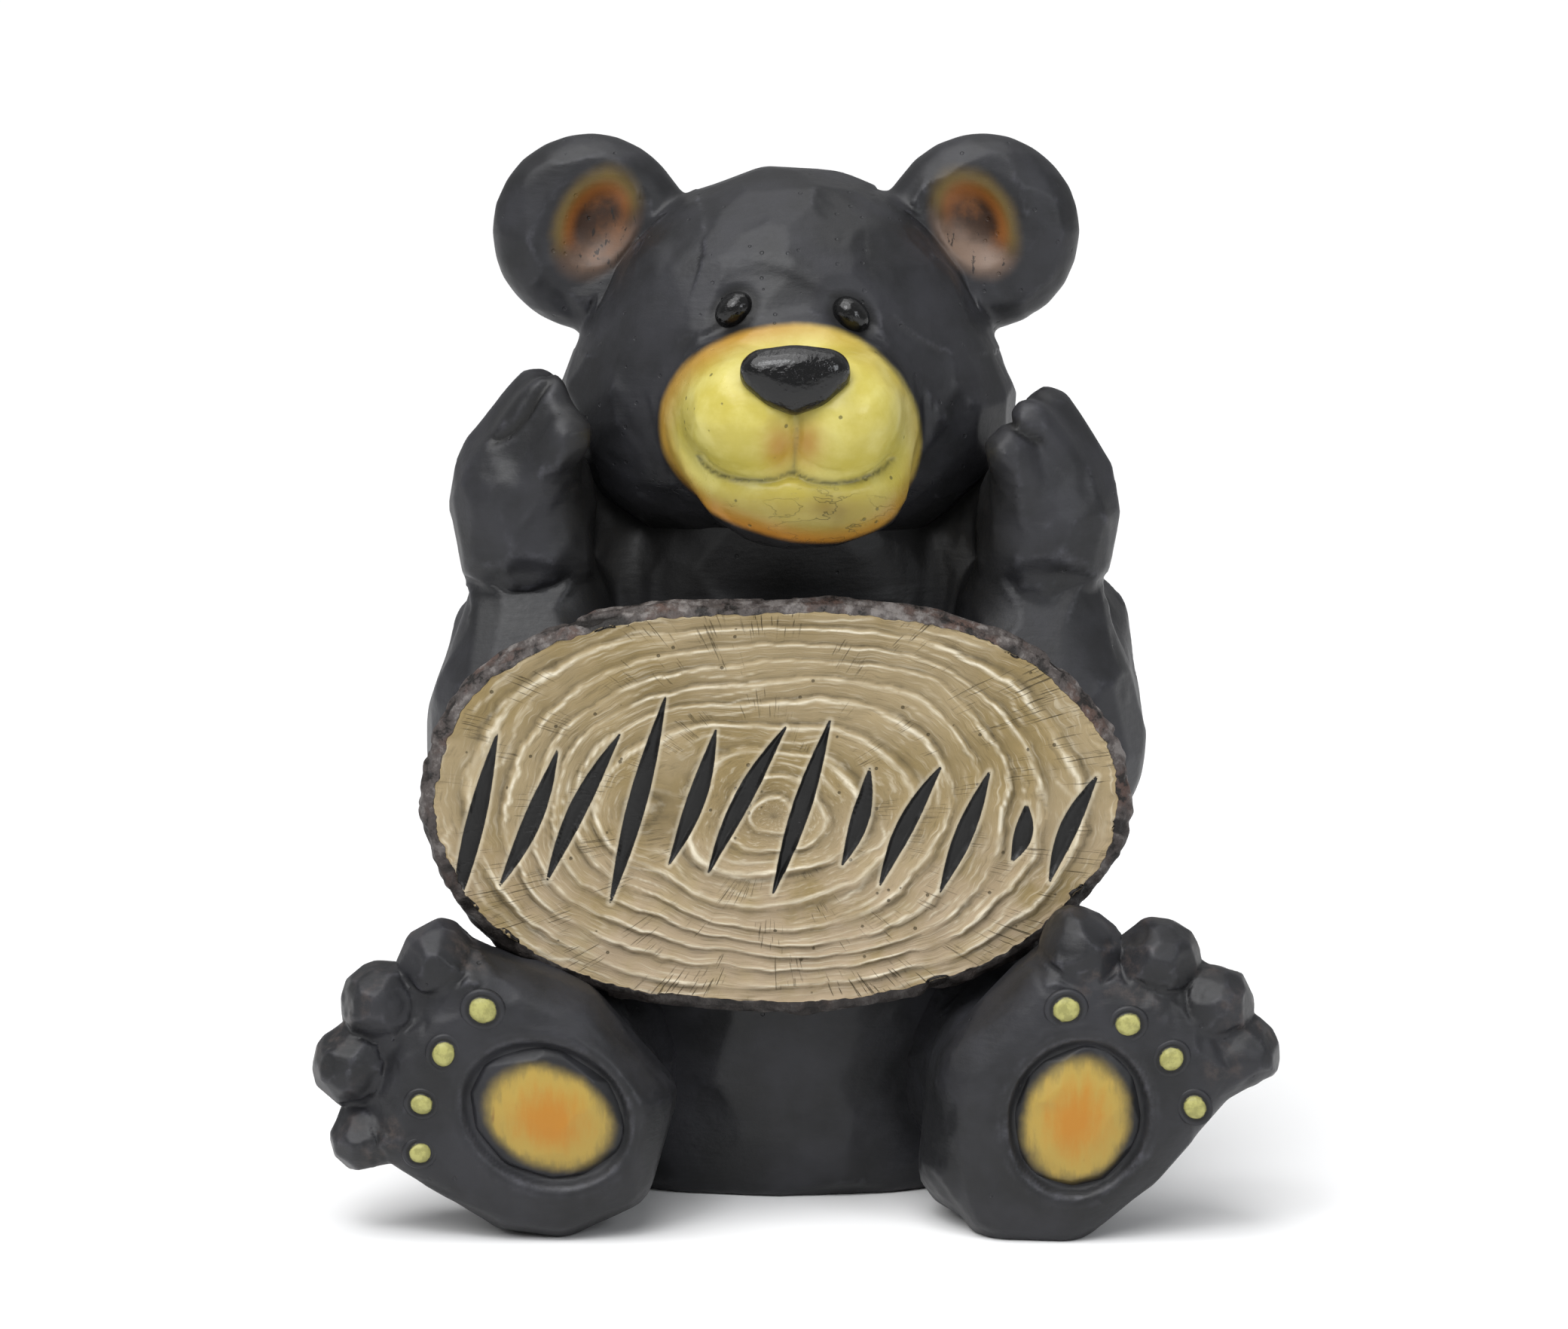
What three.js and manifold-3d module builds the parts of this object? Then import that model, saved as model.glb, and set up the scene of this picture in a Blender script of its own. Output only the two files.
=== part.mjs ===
// A sitting bear in the chainsaw-carved manner, cast in one piece and painted, with its paws
// at its cheeks and an oval log slice as a sign standing between its feet and its belly.
// Millimetres, +Z up. The bear looks along -Y, its own left side is +X, and the origin is the
// middle of the seat on the floor.
import * as THREE from "three";
import { ConvexGeometry } from "three/addons/geometries/ConvexGeometry.js";
import { ConvexHull } from "three/addons/math/ConvexHull.js";
import { mergeVertices } from "three/addons/utils/BufferGeometryUtils.js";
import Module from "manifold-3d";

// Driving dimensions of the figure.
const BEAR_HEIGHT = 450; // floor to the top of the ears
const CHISEL_BITE = 1; // how much deeper the deepest chisel cut goes than the shallowest
const LIP_PUFF = 4; // how far the upper lips swell out over the chin
const PAD_RECESS = 4; // depth of the hollow that each sole pad lies in
const PAD_GROOVE = 2; // how much wider that hollow is than its pad, all round
const PAD_CROWN = 2.5; // how far a sole pad stands out of the sole
const BUTTON_CROWN = 2; // how far the small toe pads stand out of the sole

// Driving dimensions of the log slice.
const SIGN_WIDTH = 298; // across the bark
const SIGN_HEIGHT = 174;
const SIGN_THICKNESS = 22.5;
const BARK_THICKNESS = 5;
const SIGN_LEAN = 2.5; // degrees that its top leans back
const SIGN_TURN = 2; // degrees that it turns towards the bear's right
const RING_COUNT = 6; // growth rings that stand out on the face
const RING_RELIEF = 1.1;
const STROKE_DEPTH = 2; // depth of the gouged strokes below the rings
const STROKE_WIDTH = 7.5;
const SIGN_CLEARANCE = 0.3; // gap between the slice and the seat cut for it in the bear

// The masses below are laid out at this height, in millimetres, and scaled to BEAR_HEIGHT.
const LAID_OUT_HEIGHT = 450;
const share = BEAR_HEIGHT / LAID_OUT_HEIGHT;
const laidOut = (length) => length / share; // a set length, among the masses

const wasm = await Module();
wasm.setup();

// A closed three.js geometry as a solid that can be joined and cut.
function toSolid(geometry) {
  const bare = geometry.index ? geometry.toNonIndexed() : geometry.clone();
  bare.deleteAttribute("normal");
  bare.deleteAttribute("uv");
  const merged = mergeVertices(bare, 1e-3);
  const corners = merged.getAttribute("position").array;
  return new wasm.Manifold(
    new wasm.Mesh({
      numProp: 3,
      vertProperties: new Float32Array(corners),
      triVerts: new Uint32Array(merged.index.array),
    }),
  );
}

// A solid as a flat-shaded three.js geometry.
function toGeometry(solid) {
  const { vertProperties, triVerts } = solid.getMesh();
  const geometry = new THREE.BufferGeometry();
  geometry.setAttribute(
    "position",
    new THREE.BufferAttribute(vertProperties, 3),
  );
  geometry.setIndex(new THREE.BufferAttribute(triVerts, 1));
  const flat = geometry.toNonIndexed();
  flat.computeVertexNormals();
  return flat;
}

const join = (solids) => solids.reduce((whole, solid) => whole.add(solid));

// A repeatable number from 0 to 1 for each count, so that every build carves the same facets.
function chance(count) {
  const wave = Math.sin(count * 12.9898 + 4.1414) * 43758.5453;
  return wave - Math.floor(wave);
}

const point = (x, y, z) => new THREE.Vector3(x, y, z);
const degrees = THREE.MathUtils.degToRad;
const FORWARD = point(0, -1, 0);

// A rounded mass of the body: an ellipsoid of half-sizes size, grown by round on every side.
function mass(at, size, round = 0, turn = [0, 0, 0]) {
  const spin = new THREE.Euler(...turn.map(degrees));
  return {
    at: point(...at).multiplyScalar(share),
    size: point(...size).multiplyScalar(share),
    round: round * share,
    unturn: new THREE.Quaternion().setFromEuler(spin).invert(),
  };
}

// How far a mass reaches from the origin in a direction.
function reach({ at, size, round, unturn }, direction) {
  const across = direction.clone().applyQuaternion(unturn).multiply(size);
  return at.dot(direction) + across.length() + round;
}

// Directions spread evenly over a sphere, then pushed about so that no two facets match.
function directions(count, seed) {
  const golden = Math.PI * (3 - Math.sqrt(5));
  const spacing = Math.sqrt((4 * Math.PI) / count);
  const jitter = (n) => (chance(seed * 31 + n) - 0.5) * spacing * 0.55;
  return Array.from({ length: count }, (_, i) => {
    const up = 1 - (2 * (i + 0.5)) / count;
    const out = Math.sqrt(1 - up * up);
    const round = i * golden + seed;
    return point(Math.cos(round) * out, Math.sin(round) * out, up)
      .add(point(jitter(3 * i), jitter(3 * i + 1), jitter(3 * i + 2)))
      .normalize();
  });
}

// The convex form round some masses, dressed by flat chisel cuts, and by one more cut square to
// each of the extra directions. The cuts are planes, and the corners where they meet come from
// the hull of the planes' poles.
function chiselled(masses, cuts, seed, bite = CHISEL_BITE, extra = []) {
  const middle = masses
    .reduce((sum, { at }) => sum.add(at), point(0, 0, 0))
    .divideScalar(masses.length);
  const around = [...directions(cuts, seed), ...extra];
  const poles = around.map((direction, i) => {
    const far = Math.max(...masses.map((m) => reach(m, direction)));
    const cut = far - direction.dot(middle) - bite * chance(seed * 17 + i);
    return direction.clone().divideScalar(cut);
  });
  const corners = new ConvexHull()
    .setFromPoints(poles)
    .faces.map(({ normal, constant }) =>
      normal.clone().divideScalar(constant).add(middle),
    );
  return toSolid(new ConvexGeometry(corners));
}

// The same mass on the bear's other side.
const mirrored = (at, side) => [at[0] * side, at[1], at[2]];

// The torso: seat, belly, chest and the thick neck that the head grows from.
function torso() {
  return chiselled(
    [
      mass([0, 8, 22], [90, 56, 30], 22),
      mass([0, -2, 125], [112, 88, 90]),
      mass([0, 12, 215], [98, 70, 60]),
      mass([0, 16, 272], [84, 50, 32]),
    ],
    116,
    1,
  );
}

// The skull, wide at the cheeks.
function head() {
  return chiselled(
    [mass([0.5, 2, 351], [86, 79, 80]), mass([0.5, 0, 332], [98, 76, 68])],
    120,
    3,
  );
}

// An ear: a thick round disc on a broad root, dished at the front.
function ear(side) {
  const lobe = mass([84 * side, 11, 406], [26, 4, 26], 16);
  const root = mass([52 * side, 9, 384], [18, 4, 17], 12);
  const dish = mass(
    [80 * side, -16, 407],
    [19, 15, 26],
    0,
    [0, 24 * side, 0],
  );
  const seed = 5 + side;
  return chiselled([lobe, root], 52, seed, CHISEL_BITE, [FORWARD]).subtract(
    chiselled([dish], 22, seed + 2),
  );
}

// The muzzle: a round base and chin, and a puffed lip on either side of the line that runs down
// from the nose. Where the lips meet each other and the chin is the mouth.
function muzzle() {
  const base = mass([2.5, -66, 331], [54, 30, 45]);
  const chin = mass([6, -87, 303], [37, 23, 19]);
  const lip = (side) =>
    chiselled(
      [
        mass([3.5 + 27 * side, -70, 338], [28, 26 + laidOut(LIP_PUFF), 31]),
        mass([3.5 + 19 * side, -93, 336], [26.5, 25 + laidOut(LIP_PUFF), 26.5]),
      ],
      46,
      12 + side,
      CHISEL_BITE / 2,
    );
  return join([
    chiselled([base, chin], 60, 11, CHISEL_BITE / 2),
    lip(-1),
    lip(1),
  ]);
}

// A flat ribbon of the given width along a curve in the XZ plane, thinner at both ends.
function ribbon(curve, width, steps, taper = 0.35) {
  const line = curve.getSpacedPoints(steps);
  const side = (sign) =>
    line.map((at, i) => {
      const t = i / steps;
      const along = curve.getTangentAt(t);
      const thin = taper + (1 - taper) * Math.sin(Math.PI * t);
      const half = (sign * width * thin) / 2;
      return new THREE.Vector2(at.x - along.y * half, at.y + along.x * half);
    });
  return new THREE.Shape([...side(-1), ...side(1).reverse()]);
}

// A shape drawn in the XZ plane, made solid from the depth near to the depth far along Y.
function curtain(shape, near, far) {
  const geometry = new THREE.ExtrudeGeometry(shape, {
    depth: far - near,
    bevelEnabled: false,
    steps: 1,
  });
  geometry.rotateX(Math.PI / 2);
  geometry.translate(0, far, 0);
  return toSolid(geometry);
}

// The nose: a rounded triangle, broad above and pointed below.
function nose() {
  return chiselled(
    [
      mass([-9, -117, 356.5], [10, 10, 9]),
      mass([16, -117, 356.5], [10, 10, 9]),
      mass([4, -117, 347], [7, 9, 7.5]),
    ],
    40,
    13,
    0,
  );
}

// An eye, or its socket when grown and pushed out: a smooth oval dome in a shallow cut.
function eye(side, cuts, grow = 0, push = 0) {
  return chiselled(
    [
      mass(
        [2.8 + 23.4 * side, -67 + push, 378.4],
        [8 + grow, 9 + grow, 6.8 + grow],
        0,
        [0, 27 * side, 0],
      ),
    ],
    cuts,
    15 + side,
    0,
  );
}

// The paws differ: the bear's left one is held lower. Each finger runs from its tip to its root.
const PAWS = {
  right: {
    side: -1,
    palm: [-110, -46, 296],
    heel: [-105, -48, 277],
    fingers: [
      { tip: [-90, -71, 326], root: [-104, -62, 304] },
      { tip: [-102, -61, 338], root: [-119, -56, 316] },
      { tip: [-108, -46, 340], root: [-126, -44, 314] },
    ],
  },
  left: {
    side: 1,
    palm: [109, -46, 289],
    heel: [105, -48, 274],
    fingers: [
      { tip: [91, -71, 319], root: [104, -62, 298] },
      { tip: [102, -62, 329], root: [117, -56, 309] },
      { tip: [112, -48, 333], root: [125, -44, 309] },
    ],
  },
};

// An arm: the upper arm down to the elbow, the forearm up from it, the paw and its fingers.
function arm({ side, palm, heel, fingers }) {
  const at = (x, y, z) => [x * side, y, z];
  const seed = 20 + side * 3;
  const upper = chiselled(
    [mass(at(90, 20, 232), [38, 44, 36]), mass(at(109, -40, 190), [39, 48, 44])],
    56,
    seed,
  );
  const fore = chiselled(
    [
      mass(at(108, -52, 205), [37, 33, 32]),
      mass(at(102, -47, 258), [29, 30, 26]),
    ],
    40,
    seed + 1,
  );
  const paw = chiselled(
    [mass(palm, [31, 30, 37]), mass(heel, [27, 26, 20])],
    58,
    seed + 2,
  );
  const digits = fingers.map(({ tip, root }, n) =>
    chiselled(
      [mass(tip, [10, 10, 10]), mass(root, [12, 13, 12])],
      24,
      seed + 30 + n,
      CHISEL_BITE / 2,
    ),
  );
  return join([upper, fore, paw, ...digits]);
}

// Each foot is set out from the front: the rounds that bound its sole, its toes, its sole pad
// and the buttons under its toes, as [x, z, radius].
const FEET = {
  right: {
    hip: [-80, -6, 60],
    ankle: [-96, -88, 56],
    sole: [
      [-126, 99, 21],
      [-91, 85, 21],
      [-66, 56, 21],
      [-73, 27, 20],
      [-94, 16, 19],
      [-113, 19, 19],
      [-144, 46, 18],
      [-149, 74, 19],
    ],
    toes: [
      [-142, 113, 17],
      [-166, 96, 17.5],
      [-178, 71, 17],
      [-173, 41, 15.5],
    ],
    pad: { x: -98, z: 54, wide: 33, high: 26.5, tilt: 25 },
    buttons: [
      [-123.4, 97.7, 5.6],
      [-139.5, 79.5, 5],
      [-148.7, 58.6, 4.4],
      [-149.5, 38.3, 4.4],
    ],
  },
  left: {
    hip: [82, -6, 60],
    ankle: [104, -88, 56],
    sole: [
      [111, 99, 20],
      [90, 62, 30],
      [94, 16, 24],
      [113, 11, 18],
      [143, 36, 18],
      [172, 70, 18],
      [150, 93, 20],
    ],
    toes: [
      [120, 118, 17.5],
      [153, 114, 17.5],
      [175, 96, 17],
      [187, 75, 16],
    ],
    pad: { x: 119.5, z: 52.5, wide: 26, high: 30, tilt: 14 },
    buttons: [
      [114.2, 98, 5.4],
      [139.5, 91.8, 5],
      [157.2, 77.5, 5],
      [167, 57.3, 4.8],
    ],
  },
};
const SOLE_FRONT = -145; // the sole's flat face, along Y
const SOLE_DEPTH = 58;
const SOLE_EDGE = 13; // how round the rim of the sole is

// A leg and its foot, with toes, buttons, and the sole pad in its hollow.
function leg({ hip, ankle, sole, toes, pad, buttons }) {
  const seed = Math.round(pad.x);
  const middle = SOLE_FRONT + SOLE_DEPTH / 2;
  const shin = chiselled(
    [mass(hip, [54, 52, 58]), mass(ankle, [42, 38, 50])],
    46,
    seed,
  );
  const plate = chiselled(
    sole.map(([x, z, wide]) =>
      mass(
        [x, middle, z],
        [wide - SOLE_EDGE, SOLE_DEPTH / 2 - SOLE_EDGE, wide - SOLE_EDGE],
        SOLE_EDGE,
      ),
    ),
    84,
    seed + 1,
    CHISEL_BITE / 2,
    [FORWARD],
  );
  const balls = toes.map(([x, z, wide], n) =>
    chiselled(
      [
        mass([x, middle - 5, z], [wide, wide + 5, wide]),
        mass(
          [x * 0.88 + pad.x * 0.12, middle + 4, z * 0.88 + pad.z * 0.12],
          [wide - 2, wide, wide - 2],
        ),
      ],
      25,
      seed + 2 + n,
      CHISEL_BITE / 2,
    ),
  );
  const swell = 9;
  const cushion = chiselled(
    [
      mass(
        [pad.x, SOLE_FRONT + swell - laidOut(PAD_CROWN), pad.z],
        [pad.wide, swell, pad.high],
        0,
        [0, pad.tilt, 0],
      ),
    ],
    54,
    seed + 8,
    CHISEL_BITE / 4,
  );
  return join([shin, plate, ...balls])
    .subtract(padRecess(pad))
    .add(cushion)
    .add(join(buttons.map(button)));
}

// A button: the small pad below a toe, a low round boss on the sole.
function button([x, z, radius]) {
  const sunk = 3;
  const boss = new THREE.CylinderGeometry(
    radius * 0.65 * share,
    radius * share,
    BUTTON_CROWN + sunk,
    10,
  );
  boss.rotateX(Math.PI / 2);
  boss.translate(
    x * share,
    SOLE_FRONT * share + (sunk - BUTTON_CROWN) / 2,
    z * share,
  );
  return toSolid(boss);
}

// The oval hollow that a sole pad lies in, cut in from the front of the sole.
function padRecess({ x, z, wide, high, tilt }) {
  const oval = new THREE.Path();
  oval.absellipse(
    x * share,
    z * share,
    wide * share + PAD_GROOVE,
    high * share + PAD_GROOVE,
    0,
    2 * Math.PI,
    false,
    degrees(-tilt),
  );
  return curtain(
    new THREE.Shape(oval.getPoints(22)),
    (SOLE_FRONT - 20) * share,
    SOLE_FRONT * share + PAD_RECESS,
  );
}

// The log slice, drawn lying down: X across, Z up, and Y from its back (0) to its face.

// The outline's radius at an angle from the top, as a share of a true oval: a log is never
// quite round.
function logOutline(angle) {
  return (
    1 -
    0.012 * Math.cos(2 * angle) -
    0.012 * Math.cos(3 * angle - 0.35) -
    0.0175 * Math.cos(4 * angle) +
    0.0055 * Math.sin(5 * angle - 0.7) -
    0.005 * Math.cos(6 * angle) +
    0.004 * Math.sin(11 * angle)
  );
}

// The slice's surface as a lathe profile: [share of the radius, inset from the bark, height].
// The bark swells between back and face, and the growth rings ripple over the face.
function sliceProfile() {
  const face = SIGN_THICKNESS - RING_RELIEF;
  const bark = [
    [0, 0, 0],
    [1, BARK_THICKNESS / 2, 0],
    [1, 0, SIGN_THICKNESS * 0.25],
    [1, 0, SIGN_THICKNESS * 0.6],
    [1, BARK_THICKNESS * 0.35, SIGN_THICKNESS * 0.88],
    [1, BARK_THICKNESS, face],
  ];
  const rings = [];
  for (let ring = RING_COUNT; ring > 0; ring -= 1) {
    rings.push([(ring - 0.1) / (RING_COUNT + 0.5), 0, face + RING_RELIEF]);
    rings.push([(ring - 0.42) / (RING_COUNT + 0.5), 0, face]);
  }
  return [...bark, ...rings, [0, 0, face]];
}

// Turns a lathe profile into the slice. Its outer rings follow the bark and its inner ones are
// rounder, wander a little, and close in on a heart just below the middle.
const HEART = -SIGN_HEIGHT * 0.022;
function slice(profile, segments, grow = 0) {
  const geometry = new THREE.LatheGeometry(
    profile.map(([radius, , height]) => new THREE.Vector2(radius, height)),
    segments,
  );
  const at = geometry.getAttribute("position");
  for (let i = 0; i < at.count; i += 1) {
    const [radius, inset, height] = profile[i % profile.length];
    const angle = Math.atan2(at.getX(i), at.getZ(i));
    const inner = 1 - radius;
    const wander = 1 + inner * 0.09 * Math.sin(3 * angle + 9 * radius);
    const outline = logOutline(angle) * wander;
    const wide = (SIGN_WIDTH / 2) * outline * (1 - 0.12 * inner);
    const high = (SIGN_HEIGHT / 2) * outline * (1 + 0.16 * inner);
    at.setXYZ(
      i,
      radius * (wide - inset + grow) * Math.sin(angle),
      height,
      radius * (high - inset + grow) * Math.cos(angle) + HEART * inner,
    );
  }
  return toSolid(geometry);
}

// The plain envelope of the slice with a clearance all round, which cuts its seat.
function sliceEnvelope() {
  const gap = SIGN_CLEARANCE;
  const edge = [
    [0, 0, -gap],
    [1, 0, -gap],
    [1, 0, SIGN_THICKNESS * 0.55],
    [1, BARK_THICKNESS * 0.4, SIGN_THICKNESS * 0.9 + gap],
    [1, BARK_THICKNESS * 0.9, SIGN_THICKNESS + gap],
    [0, 0, SIGN_THICKNESS + gap],
  ];
  return slice(edge, 44, gap * 2);
}

// One gouged stroke: a slightly bowed leaf, pointed at both ends.
function stroke(x, z, length, lean, bow) {
  const along = (t) =>
    new THREE.Vector2(
      x + Math.sin(degrees(lean)) * length * t + bow * (1 - 4 * t * t),
      z + Math.cos(degrees(lean)) * length * t,
    );
  const curve = new THREE.SplineCurve([along(-0.5), along(0), along(0.5)]);
  return curtain(
    ribbon(curve, STROKE_WIDTH, 4, 0.1),
    SIGN_THICKNESS - RING_RELIEF - STROKE_DEPTH,
    SIGN_THICKNESS * 1.5,
  );
}

// A rising and falling row of strokes, in the place of an inscription.
const STROKES = 12;
function strokeRow() {
  const strokes = [];
  for (let n = 0; n < STROKES; n += 1) {
    const t = n / (STROKES - 1) - 0.5;
    const tall = 0.32 + 0.1 * Math.cos(4 * t + 1) + 0.09 * Math.cos(n * 2.2);
    const x = t * SIGN_WIDTH * 0.83;
    const z = SIGN_HEIGHT * (0.045 * Math.sin(6 * t + 2.4) - 0.02);
    const lean = 21 - 7 * Math.cos(n * 1.9);
    const bow = STROKE_WIDTH * 0.3 * Math.sin(n * 2.1);
    strokes.push(stroke(x, z, SIGN_HEIGHT * tall, lean, bow));
  }
  return join(strokes);
}

// Where the slice's back rests: against the belly, its top leaning back.
const signPlace = new THREE.Object3D();
signPlace.position.set(-5.5, -87, 174.4).multiplyScalar(share);
signPlace.rotation.set(degrees(-SIGN_LEAN), 0, degrees(SIGN_TURN), "ZXY");
signPlace.scale.set(1, -1, 1);
signPlace.updateMatrix();

const bearSkin = new THREE.MeshStandardMaterial({
  color: 0x35373a,
  roughness: 0.55,
  metalness: 0,
});
const signWood = new THREE.MeshStandardMaterial({
  color: 0xb49c70,
  roughness: 0.7,
  metalness: 0,
});

function buildBear() {
  const floor = toSolid(
    new THREE.BoxGeometry(4 * BEAR_HEIGHT, 4 * BEAR_HEIGHT, BEAR_HEIGHT),
  ).translate([0, 0, -BEAR_HEIGHT / 2]);
  const limbs = [
    torso(),
    arm(PAWS.right),
    arm(PAWS.left),
    leg(FEET.right),
    leg(FEET.left),
  ];
  const sockets = join([eye(-1, 16, 2.4, -6), eye(1, 16, 2.4, -6)]);
  const face = join([head(), ear(-1), ear(1), muzzle()])
    .subtract(sockets)
    .add(join([eye(-1, 28), eye(1, 28), nose()]));
  return join([face, ...limbs])
    .subtract(floor)
    .subtract(sliceEnvelope().transform(signPlace.matrix.elements))
    .simplify(0.04);
}

function buildSign() {
  return slice(sliceProfile(), 44).subtract(strokeRow()).simplify(0.1);
}

const bear = new THREE.Mesh(toGeometry(buildBear()), bearSkin);
bear.name = "bear";

const sign = new THREE.Mesh(toGeometry(buildSign()), signWood);
sign.name = "log_slice_sign";
signPlace.matrix.decompose(sign.position, sign.quaternion, sign.scale);

const carving = new THREE.Group();
carving.add(bear, sign);
export default carving;
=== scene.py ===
"""Looks of a sitting bear statue in the carved style, with an oval log slice before its belly.

The forms are laid out in millimetres, as in the part's own source. Each skin is fused from
rounded masses, dressed with soft chisel facets, and brought to metres when it is finished.
"""

from __future__ import annotations

import logging
import math
from collections.abc import Sequence
from dataclasses import dataclass, field
from enum import Enum

import bmesh
import bpy
import numpy as np
from mathutils import Matrix, Vector

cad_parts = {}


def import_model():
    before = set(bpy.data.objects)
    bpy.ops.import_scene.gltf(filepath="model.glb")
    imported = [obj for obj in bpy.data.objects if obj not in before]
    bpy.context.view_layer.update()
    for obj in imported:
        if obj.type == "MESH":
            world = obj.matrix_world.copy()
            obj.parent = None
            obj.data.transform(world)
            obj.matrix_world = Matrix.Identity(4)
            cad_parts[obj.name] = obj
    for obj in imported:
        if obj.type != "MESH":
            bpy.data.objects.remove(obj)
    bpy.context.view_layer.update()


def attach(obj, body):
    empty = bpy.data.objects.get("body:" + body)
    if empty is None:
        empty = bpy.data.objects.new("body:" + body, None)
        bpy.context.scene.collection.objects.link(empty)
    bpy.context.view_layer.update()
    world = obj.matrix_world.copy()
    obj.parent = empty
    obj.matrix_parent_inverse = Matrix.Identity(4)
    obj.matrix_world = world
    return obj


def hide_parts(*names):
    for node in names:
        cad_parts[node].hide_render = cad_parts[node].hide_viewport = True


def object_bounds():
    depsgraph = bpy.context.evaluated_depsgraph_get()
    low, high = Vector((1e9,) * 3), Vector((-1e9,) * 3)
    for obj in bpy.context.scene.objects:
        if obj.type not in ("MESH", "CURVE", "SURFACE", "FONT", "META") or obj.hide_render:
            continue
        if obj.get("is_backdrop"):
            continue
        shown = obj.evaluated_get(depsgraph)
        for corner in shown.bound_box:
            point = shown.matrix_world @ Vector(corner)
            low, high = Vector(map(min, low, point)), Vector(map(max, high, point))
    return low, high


LOG = logging.getLogger("bear_statue")
MM = 0.001
FACET_TRIES = 9000
FACETS_NEAR = 6
POINTS_AT_ONCE = 16000
CUT_RANGE = (-1.2, 3.0)
MOVE_RANGE = (-1.2, 1.4)
FLOOR_DROP = 0.0002
FRONT = -45.0
FAR = 99.0
Array = np.ndarray
Triple = tuple[float, float, float]
Socket = bpy.types.NodeSocket
Coat = tuple[Socket, Socket, Socket]


class Side(Enum):
    """The bear's own sides, as a sign along X."""

    RIGHT = -1
    LEFT = 1


class Slot(Enum):
    """The record's material slots."""

    BEAR = "bear_paint"
    PLAQUE = "plaque_paint"


# Small helpers in numpy.


def ease(low: float, high: float, values: Array) -> Array:
    """A soft step.

    Args:
        low: where the step starts at 0.
        high: where it reaches 1.
        values: what to step.

    Returns:
        The stepped values, from 0 to 1.
    """
    t = np.clip((values - low) / (high - low), 0.0, 1.0)
    return t * t * (3.0 - 2.0 * t)


def bell(values: Array, width: float) -> Array:
    """A bell curve of 1 at zero that has faded at about twice the width."""
    return np.exp(-((values / width) ** 2))


def waves(places: Array, length: float, seed: int, count: int = 16) -> Array:
    """Smooth noise that never repeats: waves in all directions, laid over each other.

    Args:
        places: points, one a row.
        length: about how far it is from one swell to the next.
        seed: which noise.
        count: how many waves.

    Returns:
        A value for each point, mostly between -1 and 1.
    """
    rng = np.random.default_rng(seed)
    ways = rng.normal(size=(count, places.shape[1]))
    ways /= np.linalg.norm(ways, axis=1, keepdims=True)
    pitch = 2.0 * math.pi / length * rng.uniform(0.6, 1.5, count)
    phase = rng.uniform(0.0, 2.0 * math.pi, count)
    swell = np.sin(places @ (ways * pitch[:, None]).T + phase)
    return swell.sum(1) / math.sqrt(count / 2.0) * 0.6


def swells(places: Array, *layers: Triple) -> Array:
    """Waves in several sizes, each given as its height, its length and its seed."""
    return sum(height * waves(places, length, int(seed)) for height, length, seed in layers)


def oval_distance(x: Array, z: Array, middle: tuple[float, float], half: tuple[float, float],
                  tilt: float) -> Array:
    """How far points lie from the middle of an oval in the XZ plane, as a share of its radius.

    Args:
        x: across.
        z: up.
        middle: the oval's middle.
        half: its half width and half height.
        tilt: degrees that it is turned about Y, +X end down.

    Returns:
        The share, 1 on the oval.
    """
    turn = math.radians(tilt)
    across = (x - middle[0]) * math.cos(turn) - (z - middle[1]) * math.sin(turn)
    up = (x - middle[0]) * math.sin(turn) + (z - middle[1]) * math.cos(turn)
    return np.hypot(across / half[0], up / half[1])


def line_distance(x: Array, z: Array, line: Sequence[tuple[float, float]]) -> Array:
    """The distance of points in the XZ plane from a line through some corners.

    Args:
        x: across.
        z: up.
        line: the corners.

    Returns:
        The distance of each point.
    """
    near = np.full(len(x), 1e9)
    for (x0, z0), (x1, z1) in zip(line[:-1], line[1:]):
        dx, dz = x1 - x0, z1 - z0
        t = ((x - x0) * dx + (z - z0) * dz) / (dx * dx + dz * dz)
        t = np.clip(t, 0.0, 1.0)
        near = np.minimum(near, np.hypot(x - x0 - t * dx, z - z0 - t * dz))
    return near


def smooth_line(line: Sequence[tuple[float, float]], steps: int = 6) -> list[tuple[float, float]]:
    """A rounder line through the same corners.

    Args:
        line: the corners.
        steps: points for each stretch.

    Returns:
        The corners of the rounder line.
    """
    ends = [line[0], *line, line[-1]]
    made = []
    for a, b, c, d in zip(ends, ends[1:], ends[2:], ends[3:]):
        for k in range(steps):
            t = k / steps
            made.append(tuple(
                0.5 * (2 * q + (r - p) * t + (2 * p - 5 * q + 4 * r - s) * t * t
                       + (3 * q - p - 3 * r + s) * t ** 3)
                for p, q, r, s in zip(a, b, c, d)
            ))
    return [*made, line[-1]]


# Forms.


@dataclass(frozen=True)
class Mass:
    """A rounded mass of the figure: an ellipsoid, grown by a round on every side."""

    at: Triple
    size: Triple
    round: float = 0.0
    turn: float = 0.0

    @property
    def spin(self) -> Array:
        """The turn about Y, as a matrix."""
        c, s = math.cos(math.radians(self.turn)), math.sin(math.radians(self.turn))
        return np.array([[c, 0.0, s], [0.0, 1.0, 0.0], [-s, 0.0, c]])

    def skin(self, ways: Array) -> Array:
        """The points where the mass reaches furthest in some directions.

        Args:
            ways: directions of length 1, one a row.

        Returns:
            A point for each direction.
        """
        size = np.array(self.size)
        scaled = (ways @ self.spin) * size
        reach = scaled * size / np.linalg.norm(scaled, axis=1, keepdims=True)
        return np.array(self.at) + reach @ self.spin.T + ways * self.round


Hull = Sequence[Mass]


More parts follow.
